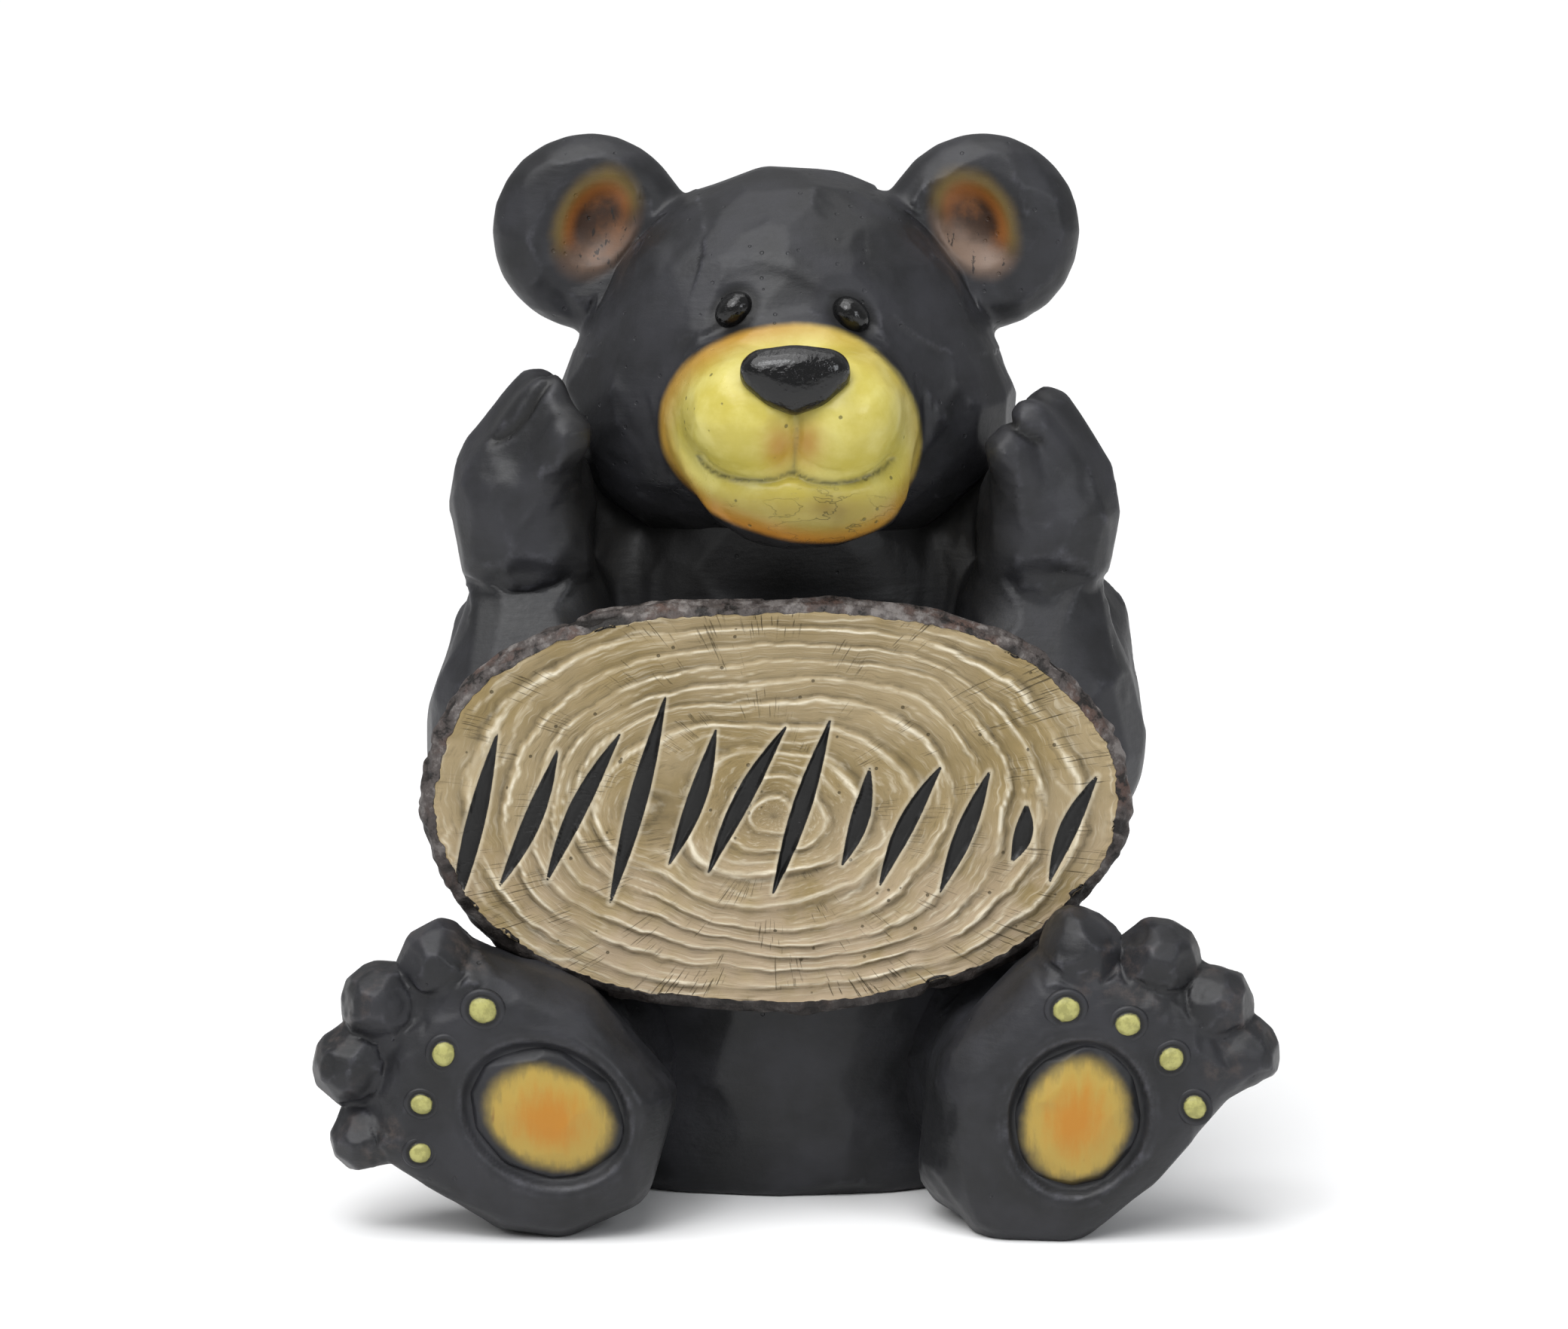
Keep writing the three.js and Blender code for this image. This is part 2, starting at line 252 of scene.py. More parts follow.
def put(name: str, data: bpy.types.ID) -> bpy.types.Object:
    """Puts an object with this data in the scene."""
    made = bpy.data.objects.new(name, data)
    bpy.context.scene.collection.objects.link(made)
    return made


def aim(rig: bpy.types.Object, way: Vector) -> None:
    """Turns a light or a camera to look a given way."""
    rig.rotation_euler = way.to_track_quat("-Z", "Y").to_euler()


def mesh_of(bm: bmesh.types.BMesh, name: str) -> bpy.types.Mesh:
    """Makes a bmesh a mesh, and lets the bmesh go."""
    mesh = bpy.data.meshes.new(name)
    bm.to_mesh(mesh)
    bm.free()
    return mesh


def spun(name: str, profile: Sequence[Triple], steps: int, merge: float) -> bpy.types.Mesh:
    """Spins a profile once round Z, and closes its seam and its poles.

    Args:
        name: the mesh's name.
        profile: the profile's points.
        steps: how many steps go round.
        merge: how near two points are that become one.

    Returns:
        The mesh, its faces outwards.
    """
    bm = bmesh.new()
    verts = [bm.verts.new(place) for place in profile]
    edges = [bm.edges.new(pair) for pair in zip(verts[:-1], verts[1:])]
    bmesh.ops.spin(bm, geom=verts + edges, cent=(0, 0, 0), axis=(0, 0, 1),
                   angle=2.0 * math.pi, steps=steps, use_merge=True)
    bmesh.ops.remove_doubles(bm, verts=bm.verts[:], dist=merge)
    bmesh.ops.recalc_face_normals(bm, faces=bm.faces[:])
    return mesh_of(bm, name)


def hull_mesh(masses: Hull, grounded: bool, detail: int) -> bpy.types.Mesh:
    """The convex form round some masses, cut off at the floor where it is grounded."""
    bm = bmesh.new()
    for mass in masses:
        made = bmesh.ops.create_icosphere(bm, subdivisions=detail, radius=1.0)["verts"]
        ways = np.array([v.co for v in made])
        ways /= np.linalg.norm(ways, axis=1, keepdims=True)
        for vert, place in zip(made, mass.skin(ways)):
            vert.co = place
    bmesh.ops.delete(bm, geom=bm.edges[:], context="EDGES_FACES")
    inside = bmesh.ops.convex_hull(bm, input=bm.verts[:], use_existing_faces=False)
    spare = {g for g in inside["geom_interior"] + inside["geom_unused"]
             if isinstance(g, bmesh.types.BMVert)}
    bmesh.ops.delete(bm, geom=list(spare), context="VERTS")
    if grounded:
        geom = bm.verts[:] + bm.edges[:] + bm.faces[:]
        bmesh.ops.bisect_plane(bm, geom=geom, plane_co=(0, 0, 0), plane_no=(0, 0, 1),
                               clear_inner=True)
        rim = [e for e in bm.edges if e.is_boundary]
        bmesh.ops.holes_fill(bm, edges=rim, sides=0)
    bmesh.ops.recalc_face_normals(bm, faces=bm.faces[:])
    return mesh_of(bm, "hull")


def fuse(hulls: Sequence[Hull], voxel: float, grounded: bool = False, detail: int = 4) -> Skin:
    """Fuses convex forms into one closed skin of even faces.

    Args:
        hulls: the masses of each convex form.
        voxel: the width of a face.
        grounded: whether the forms are cut off at the floor.
        detail: how finely each mass is rounded.

    Returns:
        The skin.
    """
    bm = bmesh.new()
    for masses in hulls:
        mesh = hull_mesh(masses, grounded, detail)
        bm.from_mesh(mesh)
        bpy.data.meshes.remove(mesh)
    mesh = mesh_of(bm, "fused")
    block = put("fused", mesh)
    remesh = block.modifiers.new("fuse", "REMESH")
    remesh.mode = "VOXEL"
    remesh.voxel_size = voxel
    depsgraph = bpy.context.evaluated_depsgraph_get()
    made = bpy.data.meshes.new_from_object(block.evaluated_get(depsgraph))
    bpy.data.objects.remove(block)
    bpy.data.meshes.remove(mesh)
    return Skin(made)


class Skin:
    """A mesh in millimetres whose points are pushed about."""

    def __init__(self, mesh: bpy.types.Mesh) -> None:
        """Reads the mesh's points, edges and triangles."""
        self.mesh = mesh
        count = len(mesh.vertices)
        flat = np.empty(count * 3)
        mesh.vertices.foreach_get("co", flat)
        self.places = flat.reshape(-1, 3)
        edges = np.empty(len(mesh.edges) * 2, np.int32)
        mesh.edges.foreach_get("vertices", edges)
        self.edges = edges.reshape(-1, 2)
        mesh.calc_loop_triangles()
        triangles = np.empty(len(mesh.loop_triangles) * 3, np.int32)
        mesh.loop_triangles.foreach_get("vertices", triangles)
        self.triangles = triangles.reshape(-1, 3)
        self.share = 1.0 / np.maximum(1, np.bincount(edges, minlength=count))

    @property
    def x(self) -> Array:
        """Across, from the bear's right to its left."""
        return self.places[:, 0]

    @property
    def y(self) -> Array:
        """Depth, from front to back."""
        return self.places[:, 1]

    @property
    def z(self) -> Array:
        """Height."""
        return self.places[:, 2]

    def spread(self, values: Array) -> Array:
        """The mean of each point's neighbours, of one value or of several a point."""
        if values.ndim > 1:
            return np.stack([self.spread(column) for column in values.T], 1)
        count = len(self.share)
        a, b = self.edges.T
        total = np.bincount(a, values[b], count) + np.bincount(b, values[a], count)
        return total * self.share

    def blur(self, values: Array, times: int) -> Array:
        """Values spread over their neighbours a number of times."""
        for _ in range(times):
            values = 0.5 * values + 0.5 * self.spread(values)
        return values

    def normals(self) -> Array:
        """The outward direction at each point."""
        corners = self.places[self.triangles]
        face = np.cross(corners[:, 1] - corners[:, 0], corners[:, 2] - corners[:, 0])
        count = len(self.share)
        total = np.stack([
            sum(np.bincount(self.triangles[:, c], face[:, k], count) for c in range(3))
            for k in range(3)
        ], 1)
        return total / np.maximum(1e-12, np.linalg.norm(total, axis=1, keepdims=True))

    def bend(self, normals: Array) -> Array:
        """How far each point lies below its neighbours, over 0 in creases."""
        return ((self.spread(self.places) - self.places) * normals).sum(1)

    def relax(self, times: int, amount: float = 0.5, where: Array | None = None) -> None:
        """Smooths the skin.

        Args:
            times: how often.
            amount: how far each point goes towards its neighbours' mean.
            where: a share of that for each point.
        """
        share = amount if where is None else (amount * where)[:, None]
        for _ in range(times):
            self.places = self.places + share * (self.spread(self.places) - self.places)

    def fill(self, times: int, amount: float = 0.7, where: Array | None = None) -> None:
        """Fills creases with a fillet, and leaves what bulges as it is.

        Args:
            times: how often, which sets how wide the fillet gets.
            amount: how far each point goes.
            where: a share of that for each point.
        """
        share = amount if where is None else amount * where
        for _ in range(times):
            normals = self.normals()
            rise = share * np.maximum(0.0, self.bend(normals))
            self.places = self.places + rise[:, None] * normals

    def push(self, distance: Array, way: Triple | None = None) -> None:
        """Moves each point outwards, or along one direction, by its own distance."""
        ways = self.normals() if way is None else np.array([way])
        self.places = self.places + distance[:, None] * ways

    def hollow(self, blur: int) -> Array:
        """How hollow the skin is round each point: over 0 in creases, under 0 on ridges."""
        return self.blur(self.bend(self.normals()), blur)

    def dish(self, mass: Mass) -> None:
        """Presses the skin's front back to the far wall of an ellipsoid."""
        near = ((self.places - np.array(mass.at)) @ mass.spin) / np.array(mass.size)
        way = mass.spin[1] / np.array(mass.size)
        a = way @ way
        b = 2.0 * near @ way
        c0 = (near ** 2).sum(1) - 1.0
        inside = c0 < 0.0
        root = np.sqrt(np.maximum(0.0, b * b - 4.0 * a * c0))
        self.places[inside, 1] += ((-b + root) / (2.0 * a))[inside]

    def carve(self, width: Array, seed: int, keep: Array, bite: float = 0.3,
              tilt: float = 0.05, round_over: float = 0.08) -> None:
        """Dresses the skin with flat chisel facets that meet in soft ridges.

        Args:
            width: how wide the facets are at each point.
            seed: which facets.
            keep: how much of the facets each point takes, from 0 to 1.
            bite: how much deeper one cut may go than another.
            tilt: how far off square a cut may lie, in radians.
            round_over: how soft the ridges are.
        """
        rng = np.random.default_rng(seed)
        width = width * (1.0 + 0.28 * waves(self.places, 70.0, seed + 7))
        calm = self.normals()
        calm = self.blur(calm, 8)
        calm /= np.linalg.norm(calm, axis=1, keepdims=True)
        bent = 0.8 * float(np.median(width))
        space = np.hstack([self.places, calm * bent]).astype(np.float32)
        order = rng.permutation(len(space))[:FACET_TRIES]
        chosen: list[int] = []
        taken = np.empty((0, 6), np.float32)
        for index in order:
            gap = ((taken - space[index]) ** 2).sum(1) if chosen else np.array([1e9])
            if gap.min() > (0.86 * width[index]) ** 2:
                chosen.append(int(index))
                taken = space[chosen]
        picked = np.array(chosen)
        ways = calm[picked] + tilt * rng.normal(size=(len(picked), 3))
        ways /= np.linalg.norm(ways, axis=1, keepdims=True)
        seats = self.places[picked] - calm[picked] * (bite * rng.random(len(picked)))[:, None]
        normals = self.normals()
        moved = np.zeros(len(space))
        near_count = min(FACETS_NEAR, len(picked))
        for start in range(0, len(space), POINTS_AT_ONCE):
            part = slice(start, start + POINTS_AT_ONCE)
            here = space[part]
            apart = ((here ** 2).sum(1)[:, None] + (taken ** 2).sum(1)[None, :]
                     - 2.0 * here @ taken.T)
            near = np.argpartition(apart, near_count - 1, axis=1)[:, :near_count]
            gap = np.sqrt(np.maximum(0.0, np.take_along_axis(apart, near, 1)))
            facing = (normals[part][:, None, :] * ways[near]).sum(2)
            lift = ((seats[near] - self.places[part][:, None, :]) * ways[near]).sum(2)
            lift = lift / np.maximum(0.4, facing)
            wide = width[part][:, None]
            aside = 5.0 * np.clip((gap - 0.85 * wide) / (0.9 * wide), 0.0, 1.0) ** 2
            aside += 6.0 * np.clip((0.85 - facing) / 0.35, 0.0, 1.0) ** 2
            lift = np.clip(lift, *CUT_RANGE) + aside
            moved[part] = -round_over * np.log(np.exp(-lift / round_over).sum(1) + 1e-30)
        moved = self.blur(np.clip(moved, *MOVE_RANGE), 1) * keep
        self.places = self.places + moved[:, None] * normals

    def shave(self, at: Triple, way: Triple, reach: float) -> None:
        """Cuts off flat what stands out past a plane.

        Args:
            at: a place on the plane.
            way: the plane's outward direction.
            reach: how far round that place the cut goes.
        """
        out = np.array(way) / math.hypot(*way)
        from_at = self.places - np.array(at)
        over = np.clip(from_at @ out, 0.0, 3.5)
        near = ease(reach * 1.25, reach, np.linalg.norm(from_at, axis=1))
        self.places = self.places - (over * near)[:, None] * out

    def mark(self, name: str, values: Array) -> None:
        """Writes a value or a vector for each point, which materials can read by name."""
        kind, slot = ("FLOAT", "value") if values.ndim == 1 else ("FLOAT_VECTOR", "vector")
        layer = self.mesh.attributes.new(name, kind, "POINT")
        layer.data.foreach_set(slot, np.ascontiguousarray(values, np.float32).ravel())

    def finish(self, name: str, material: bpy.types.Material, slot: Slot,
               stands_for: str) -> bpy.types.Object:
        """Brings the skin to metres and sets it on the statue.

        Args:
            name: the piece's name.
            material: its finish.
            slot: not used.
            stands_for: the CAD node that it is part of.

        Returns:
            The piece.
        """
        self.mesh.vertices.foreach_set("co", (self.places * MM).ravel())
        self.mesh.polygons.foreach_set("use_smooth", [True] * len(self.mesh.polygons))
        self.mesh.materials.clear()
        self.mesh.materials.append(material)
        self.mesh.update()
        self.mesh.name = name
        piece = put(name, self.mesh)
        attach(piece, "root")
        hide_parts(stands_for)
        LOG.info("%s: %d triangles", name, len(self.triangles))
        return piece


# Finishes.


class Bench:
    """Lays out one material's nodes."""

    def __init__(self, name: str) -> None:
        """Starts a material with an empty sheet of nodes."""
        self.material = bpy.data.materials.new(name)
        self.material.use_nodes = True
        self.tree = self.material.node_tree
        self.tree.nodes.clear()

    def node(self, kind: str, **settings: object) -> bpy.types.Node:
        """Adds a node of a kind, with its settings."""
        made = self.tree.nodes.new(kind)
        for key, value in settings.items():
            setattr(made, key, value)
        return made

    def feed(self, socket: Socket, value: object) -> None:
        """Links a socket to another, or sets its value."""
        if isinstance(value, bpy.types.NodeSocket):
            self.tree.links.new(value, socket)
        elif isinstance(value, tuple) and len(value) == 3 and socket.type == "RGBA":
            socket.default_value = (*value, 1.0)
        else:
            socket.default_value = value

    def sums(self, operation: str, *values: object) -> Socket:
        """One step of arithmetic."""
        made = self.node("ShaderNodeMath", operation=operation)
        for socket, value in zip(made.inputs, values):
            self.feed(socket, value)
        return made.outputs[0]

    def times(self, one: object, other: object) -> Socket:
        """One value times another."""
        return self.sums("MULTIPLY", one, other)

    def more(self, base: object, share: float, value: object) -> Socket:
        """A base with a share of a value added to it."""
        return self.sums("MULTIPLY_ADD", value, share, base)

    def sway(self, base: object, share: float, noise: Socket) -> Socket:
        """A base that noise sways both ways."""
        return self.more(base, share, self.sums("SUBTRACT", noise, 0.5))

    def ease(self, value: Socket, low: float, high: float, to_low: float = 0.0,
             to_high: float = 1.0) -> Socket:
        """A soft step of a value from low to high."""
        made = self.node("ShaderNodeMapRange", interpolation_type="SMOOTHSTEP")
        for socket, what in zip(made.inputs, (value, low, high, to_low, to_high)):
            self.feed(socket, what)
        return made.outputs[0]

    def blend(self, share: object, below: object, above: object) -> Socket:
        """One colour laid over another."""
        made = self.node("ShaderNodeMix", data_type="RGBA")
        made.clamp_factor = True
        self.feed(made.inputs[0], share)
        self.feed(made.inputs[6], below)
        self.feed(made.inputs[7], above)
        return made.outputs[2]

    def coats(self, colour: object, *coats: tuple[object, object]) -> Socket:
        """Coats of paint over a colour, each given as its share and its colour."""
        for share, paint in coats:
            colour = self.blend(share, colour, paint)
        return colour

    def marked(self, name: str, output: str = "Fac") -> Socket:
        """What the mesh carries for each point under a name."""
        return self.node("ShaderNodeAttribute", attribute_name=name).outputs[output]

    def place(self, scale: Triple = (1.0, 1.0, 1.0), start: Socket | None = None,
              turn: Triple = (0.0, 0.0, 0.0)) -> Socket:
        """The place on the piece in metres, or another vector, scaled and turned."""
        if start is None:
            start = self.node("ShaderNodeTexCoord").outputs["Object"]
        made = self.node("ShaderNodeMapping")
        self.feed(made.inputs["Vector"], start)
        made.inputs["Scale"].default_value = scale
        made.inputs["Rotation"].default_value = turn
        return made.outputs[0]

    def noise(self, scale: float, detail: float = 3.0, rough: float = 0.5,
              at: Socket | None = None) -> Socket:
        """Cloudy noise from 0 to 1."""
        made = self.node("ShaderNodeTexNoise")
        self.feed(made.inputs["Vector"], at or self.place())
        made.inputs["Scale"].default_value = scale
        made.inputs["Detail"].default_value = detail
        made.inputs["Roughness"].default_value = rough
        return made.outputs["Fac"]

    def dots(self, scale: float, size: float, share: float) -> Socket:
        """Sparse round dots: 1 in a dot.

        Args:
            scale: cells to a metre.
            size: a dot's radius as a share of its cell.
            share: how many of the cells have one.

        Returns:
            The dots.
        """
        made = self.node("ShaderNodeTexVoronoi")
        self.feed(made.inputs["Vector"], self.place())
        made.inputs["Scale"].default_value = scale
        dot = self.ease(made.outputs["Distance"], size * 0.6, size, 1.0, 0.0)
        split = self.node("ShaderNodeSeparateColor")
        self.feed(split.inputs[0], made.outputs["Color"])
        return self.times(dot, self.sums("LESS_THAN", split.outputs[0], share))

    def bump(self, height: Socket, depth: float) -> Socket:
        """Fine relief, as deep as the given metres where the height goes from 0 to 1."""
        made = self.node("ShaderNodeBump")
        made.inputs["Strength"].default_value = 1.0
        made.inputs["Distance"].default_value = depth
        self.feed(made.inputs["Height"], height)
        return made.outputs[0]

    def close(self, colour: object, rough: object, normal: Socket | None = None,
              coat: float = 0.0, coat_rough: float = 0.1, shine: float = 0.5
              ) -> bpy.types.Material:
        """Finishes the material with its surface.

        Args:
            colour: the base colour.
            rough: the roughness.
            normal: the fine relief.
            coat: how much clear varnish lies over it.
            coat_rough: the varnish's roughness.
            shine: the specular level.

        Returns:
            The material.
        """
        surface = self.node("ShaderNodeBsdfPrincipled")
        self.feed(surface.inputs["Base Color"], colour)
        self.feed(surface.inputs["Roughness"], rough)
        surface.inputs["Specular IOR Level"].default_value = shine
        surface.inputs["Coat Weight"].default_value = coat
        surface.inputs["Coat Roughness"].default_value = coat_rough
        if normal is not None:
            self.feed(surface.inputs["Normal"], normal)
        out = self.node("ShaderNodeOutputMaterial")
        self.feed(out.inputs["Surface"], surface.outputs[0])
        return self.material


@dataclass(frozen=True)
class BearPaint:
    """Satin black paint on cast resin, scuffed greyer on its ridges, and darkened with painted
    shade in its creases and shaded places.
    """

    name: str = "satin_black"
    deep: Triple = (0.0120, 0.0122, 0.0132)
    worn: Triple = (0.0230, 0.0232, 0.0270)
    ridge: Triple = (0.0480, 0.0480, 0.0560)
    # crease: the colour of painted shade in creases and shaded places; the ear's cracks take it too
    crease: Triple = (0.0090, 0.0088, 0.0084)
    dust: Triple = (0.0560, 0.0440, 0.0400)
    rough: float = 0.44
    shine: float = 0.30
    relief: float = 0.00030

    def make(self) -> bpy.types.Material:
        """The material."""
        bench = Bench(self.name)
        cloud = bench.noise(26.0, 4.0, 0.6)
        scuff = bench.noise(150.0, 5.0, 0.65)
        fine = bench.noise(420.0, 4.0, 0.6)
        colour = bench.coats(
            self.deep,
            (bench.ease(cloud, 0.35, 0.7), self.worn),
            (bench.times(bench.marked("ridge"), bench.ease(scuff, 0.35, 0.75)), self.ridge),
            (bench.times(bench.marked("dust"), bench.ease(scuff, 0.45, 0.75)), self.dust),
            # painted shade: the crease mark darkens the black in creases, grooves and places under
            # the head
            (bench.marked("crease"), self.crease),
        )
        rough = bench.sway(bench.sway(self.rough, 0.25, cloud), 0.16, fine)
        brushed = bench.noise(70.0, 3.0, 0.5, bench.place((1.0, 1.0, 4.0), turn=(0.5, 0.3, 0.2)))
        height = bench.more(bench.times(brushed, 0.6), 0.35, fine)
        height = bench.more(height, -0.8, bench.dots(95.0, 0.10, 0.22))
        colour, rough, height = self.over(bench, colour, rough, height)
        return bench.close(colour, rough, bench.bump(height, self.relief), shine=self.shine)

    def over(self, bench: Bench, colour: Socket, rough: Socket, height: Socket) -> Coat:
        """What is painted over the black: nothing here.

        Args:
            bench: the material's nodes; not used here.
            colour: the black's colour.
            rough: its roughness.
            height: its fine relief.

        Returns:
            Colour, roughness and fine relief.
        """
        return colour, rough, height


@dataclass(frozen=True)
class FacePaint(BearPaint):
    """The black paint of the head, with the airbrushed muzzle and ears."""

    name: str = "airbrushed_face"
    relief: float = 0.00028
    yellow: Triple = (0.440, 0.372, 0.072)
    pale: Triple = (0.530, 0.470, 0.140)
    olive: Triple = (0.170, 0.118, 0.022)
    orange: Triple = (0.340, 0.140, 0.018)
    wash: Triple = (0.075, 0.070, 0.022)
    ear_rim: Triple = (0.105, 0.068, 0.014)
    ear_brown: Triple = (0.030, 0.013, 0.006)
    ear_orange: Triple = (0.200, 0.070, 0.014)
    ear_pink: Triple = (0.165, 0.112, 0.082)

    def over(self, bench: Bench, colour: Socket, rough: Socket, height: Socket) -> Coat:
        """Airbrushes the muzzle and the ears over the black."""
        cloud = bench.noise(60.0, 4.0, 0.6)
        murk = bench.noise(24.0, 3.0, 0.5)
        chin = bench.marked("chin")
        edge = bench.sway(bench.marked("muzzle"), 1.6, cloud)
        rim = bench.times(bench.ease(edge, 0.5, 10.0, 1.0, 0.0), bench.marked("glow"))
        specks = bench.dots(190.0, 0.19, 0.24)
        flow = bench.noise(70.0, 3.0, 0.55, bench.place((1.0, 1.0, 2.6)))
        apart = bench.sums("ABSOLUTE", bench.sums("SUBTRACT", flow, 0.5))
        split = bench.times(bench.ease(apart, 0.014, 0.004), bench.ease(murk, 0.42, 0.6))
        split = bench.times(split, chin)
        skin = bench.coats(
            self.yellow,
            (bench.ease(cloud, 0.35, 0.7), self.pale),
            # The muzzle's paint turns olive towards the bottom of the chin, and in cloudy patches.
            (bench.more(bench.ease(murk, 0.5, 0.8, 0.0, 0.4), 0.68, chin), self.olive),
            (rim, self.orange),
            (bench.marked("stain"), self.orange),
            (bench.times(bench.marked("lips"), bench.ease(cloud, 0.2, 0.5, 0.6, 1.0)), self.wash),
            (bench.times(specks, 0.7), self.wash),
            (bench.times(split, 0.6), self.wash),
        )
        ear = bench.marked("ear")
        low = bench.times(bench.marked("ear_low"), bench.ease(cloud, 0.25, 0.55, 0.5, 1.0))
        cracks = bench.noise(330.0, 3.0, 0.6, bench.place((1.0, 1.0, 0.4)))
        ring = bench.times(bench.ease(ear, 0.42, 0.74), bench.marked("ear_outer"))
        ring_paint = bench.blend(bench.ease(ear, 0.62, 0.95), self.ear_orange, self.ear_rim)
        inner = bench.coats(
            self.ear_brown,
            (bench.ease(cloud, 0.42, 0.72, 0.0, 0.6), self.ear_orange),
            (low, self.ear_pink),
            (bench.ease(cracks, 0.62, 0.68, 0.0, 0.8), self.crease),
            (ring, ring_paint),
        )
        shown = bench.ease(edge, -1.4, 1.8)
        in_ear = bench.ease(bench.sway(ear, 0.25, cloud), 0.80, 1.26, 1.0, 0.0)
        colour = bench.coats(colour, (shown, skin), (in_ear, inner))
        height = bench.more(bench.more(height, -0.9, specks), -1.2, split)
        return colour, bench.more(rough, -0.12, shown), height


@dataclass(frozen=True)
class GlossBlack:
    """Thick glossy black, for the nose and the eyes."""

    name: str = "gloss_black"
    colour: Triple = (0.0035, 0.0035, 0.0037)
    rough: float = 0.11

    def make(self) -> bpy.types.Material:
        """The material."""
        bench = Bench(self.name)
        rough = bench.more(self.rough, 0.10, bench.noise(900.0, 2.0, 0.5))
        orange_peel = bench.bump(bench.noise(400.0, 2.0, 0.5), 0.00060)
        return bench.close(self.colour, rough, orange_peel, coat=0.3, coat_rough=0.05, shine=0.25)


@dataclass(frozen=True)
class PadPaint(BearPaint):
    """A sole pad: orange in its middle, yellow round that, and airbrushed into the black."""

    name: str = "airbrushed_pad"
    relief: float = 0.00020
    yellow: Triple = (0.340, 0.235, 0.050)
    orange: Triple = (0.370, 0.160, 0.018)
    scratch: Triple = (0.160, 0.060, 0.020)
    olive: Triple = (0.150, 0.120, 0.040)

    def over(self, bench: Bench, colour: Socket, rough: Socket, height: Socket) -> Coat:
        """Airbrushes the pad over the black."""
        spot = bench.sway(bench.marked("pad"), 0.22, bench.noise(70.0, 4.0, 0.6))
        brush = bench.noise(60.0, 4.0, 0.6, bench.place((4.5, 1.0, 1.2)))
        heart = bench.sway(spot, 0.7, brush)
        marks = bench.noise(160.0, 2.0, 0.4, bench.place((1.0, 1.0, 0.3), turn=(0.0, 0.9, 0.0)))
        skin = bench.coats(
            self.orange,
            (bench.ease(heart, 0.15, 0.85), self.yellow),
            (bench.ease(marks, 0.70, 0.76, 0.0, 0.6), self.scratch),
            (bench.ease(heart, 0.78, 1.05, 0.0, 0.6), self.olive),
        )
        return bench.blend(bench.ease(spot, 0.88, 1.15, 1.0, 0.0), colour, skin), rough, height


@dataclass(frozen=True)
class ButtonPaint(BearPaint):
    """A small toe pad: dry yellow-green on the boss and black round it."""

    name: str = "dry_yellow"
    relief: float = 0.00020
    pale: Triple = (0.360, 0.345, 0.120)
    dull: Triple = (0.250, 0.240, 0.080)

    def over(self, bench: Bench, colour: Socket, rough: Socket, height: Socket) -> Coat:
        """Dabs the boss yellow over the black."""
        cloud = bench.noise(330.0, 4.0, 0.6)
        spot = bench.sway(bench.marked("button"), 0.35, cloud)
        skin = bench.blend(bench.ease(cloud, 0.35, 0.6), self.dull, self.pale)
        return bench.blend(bench.ease(spot, 0.86, 1.02, 1.0, 0.0), colour, skin), rough, height


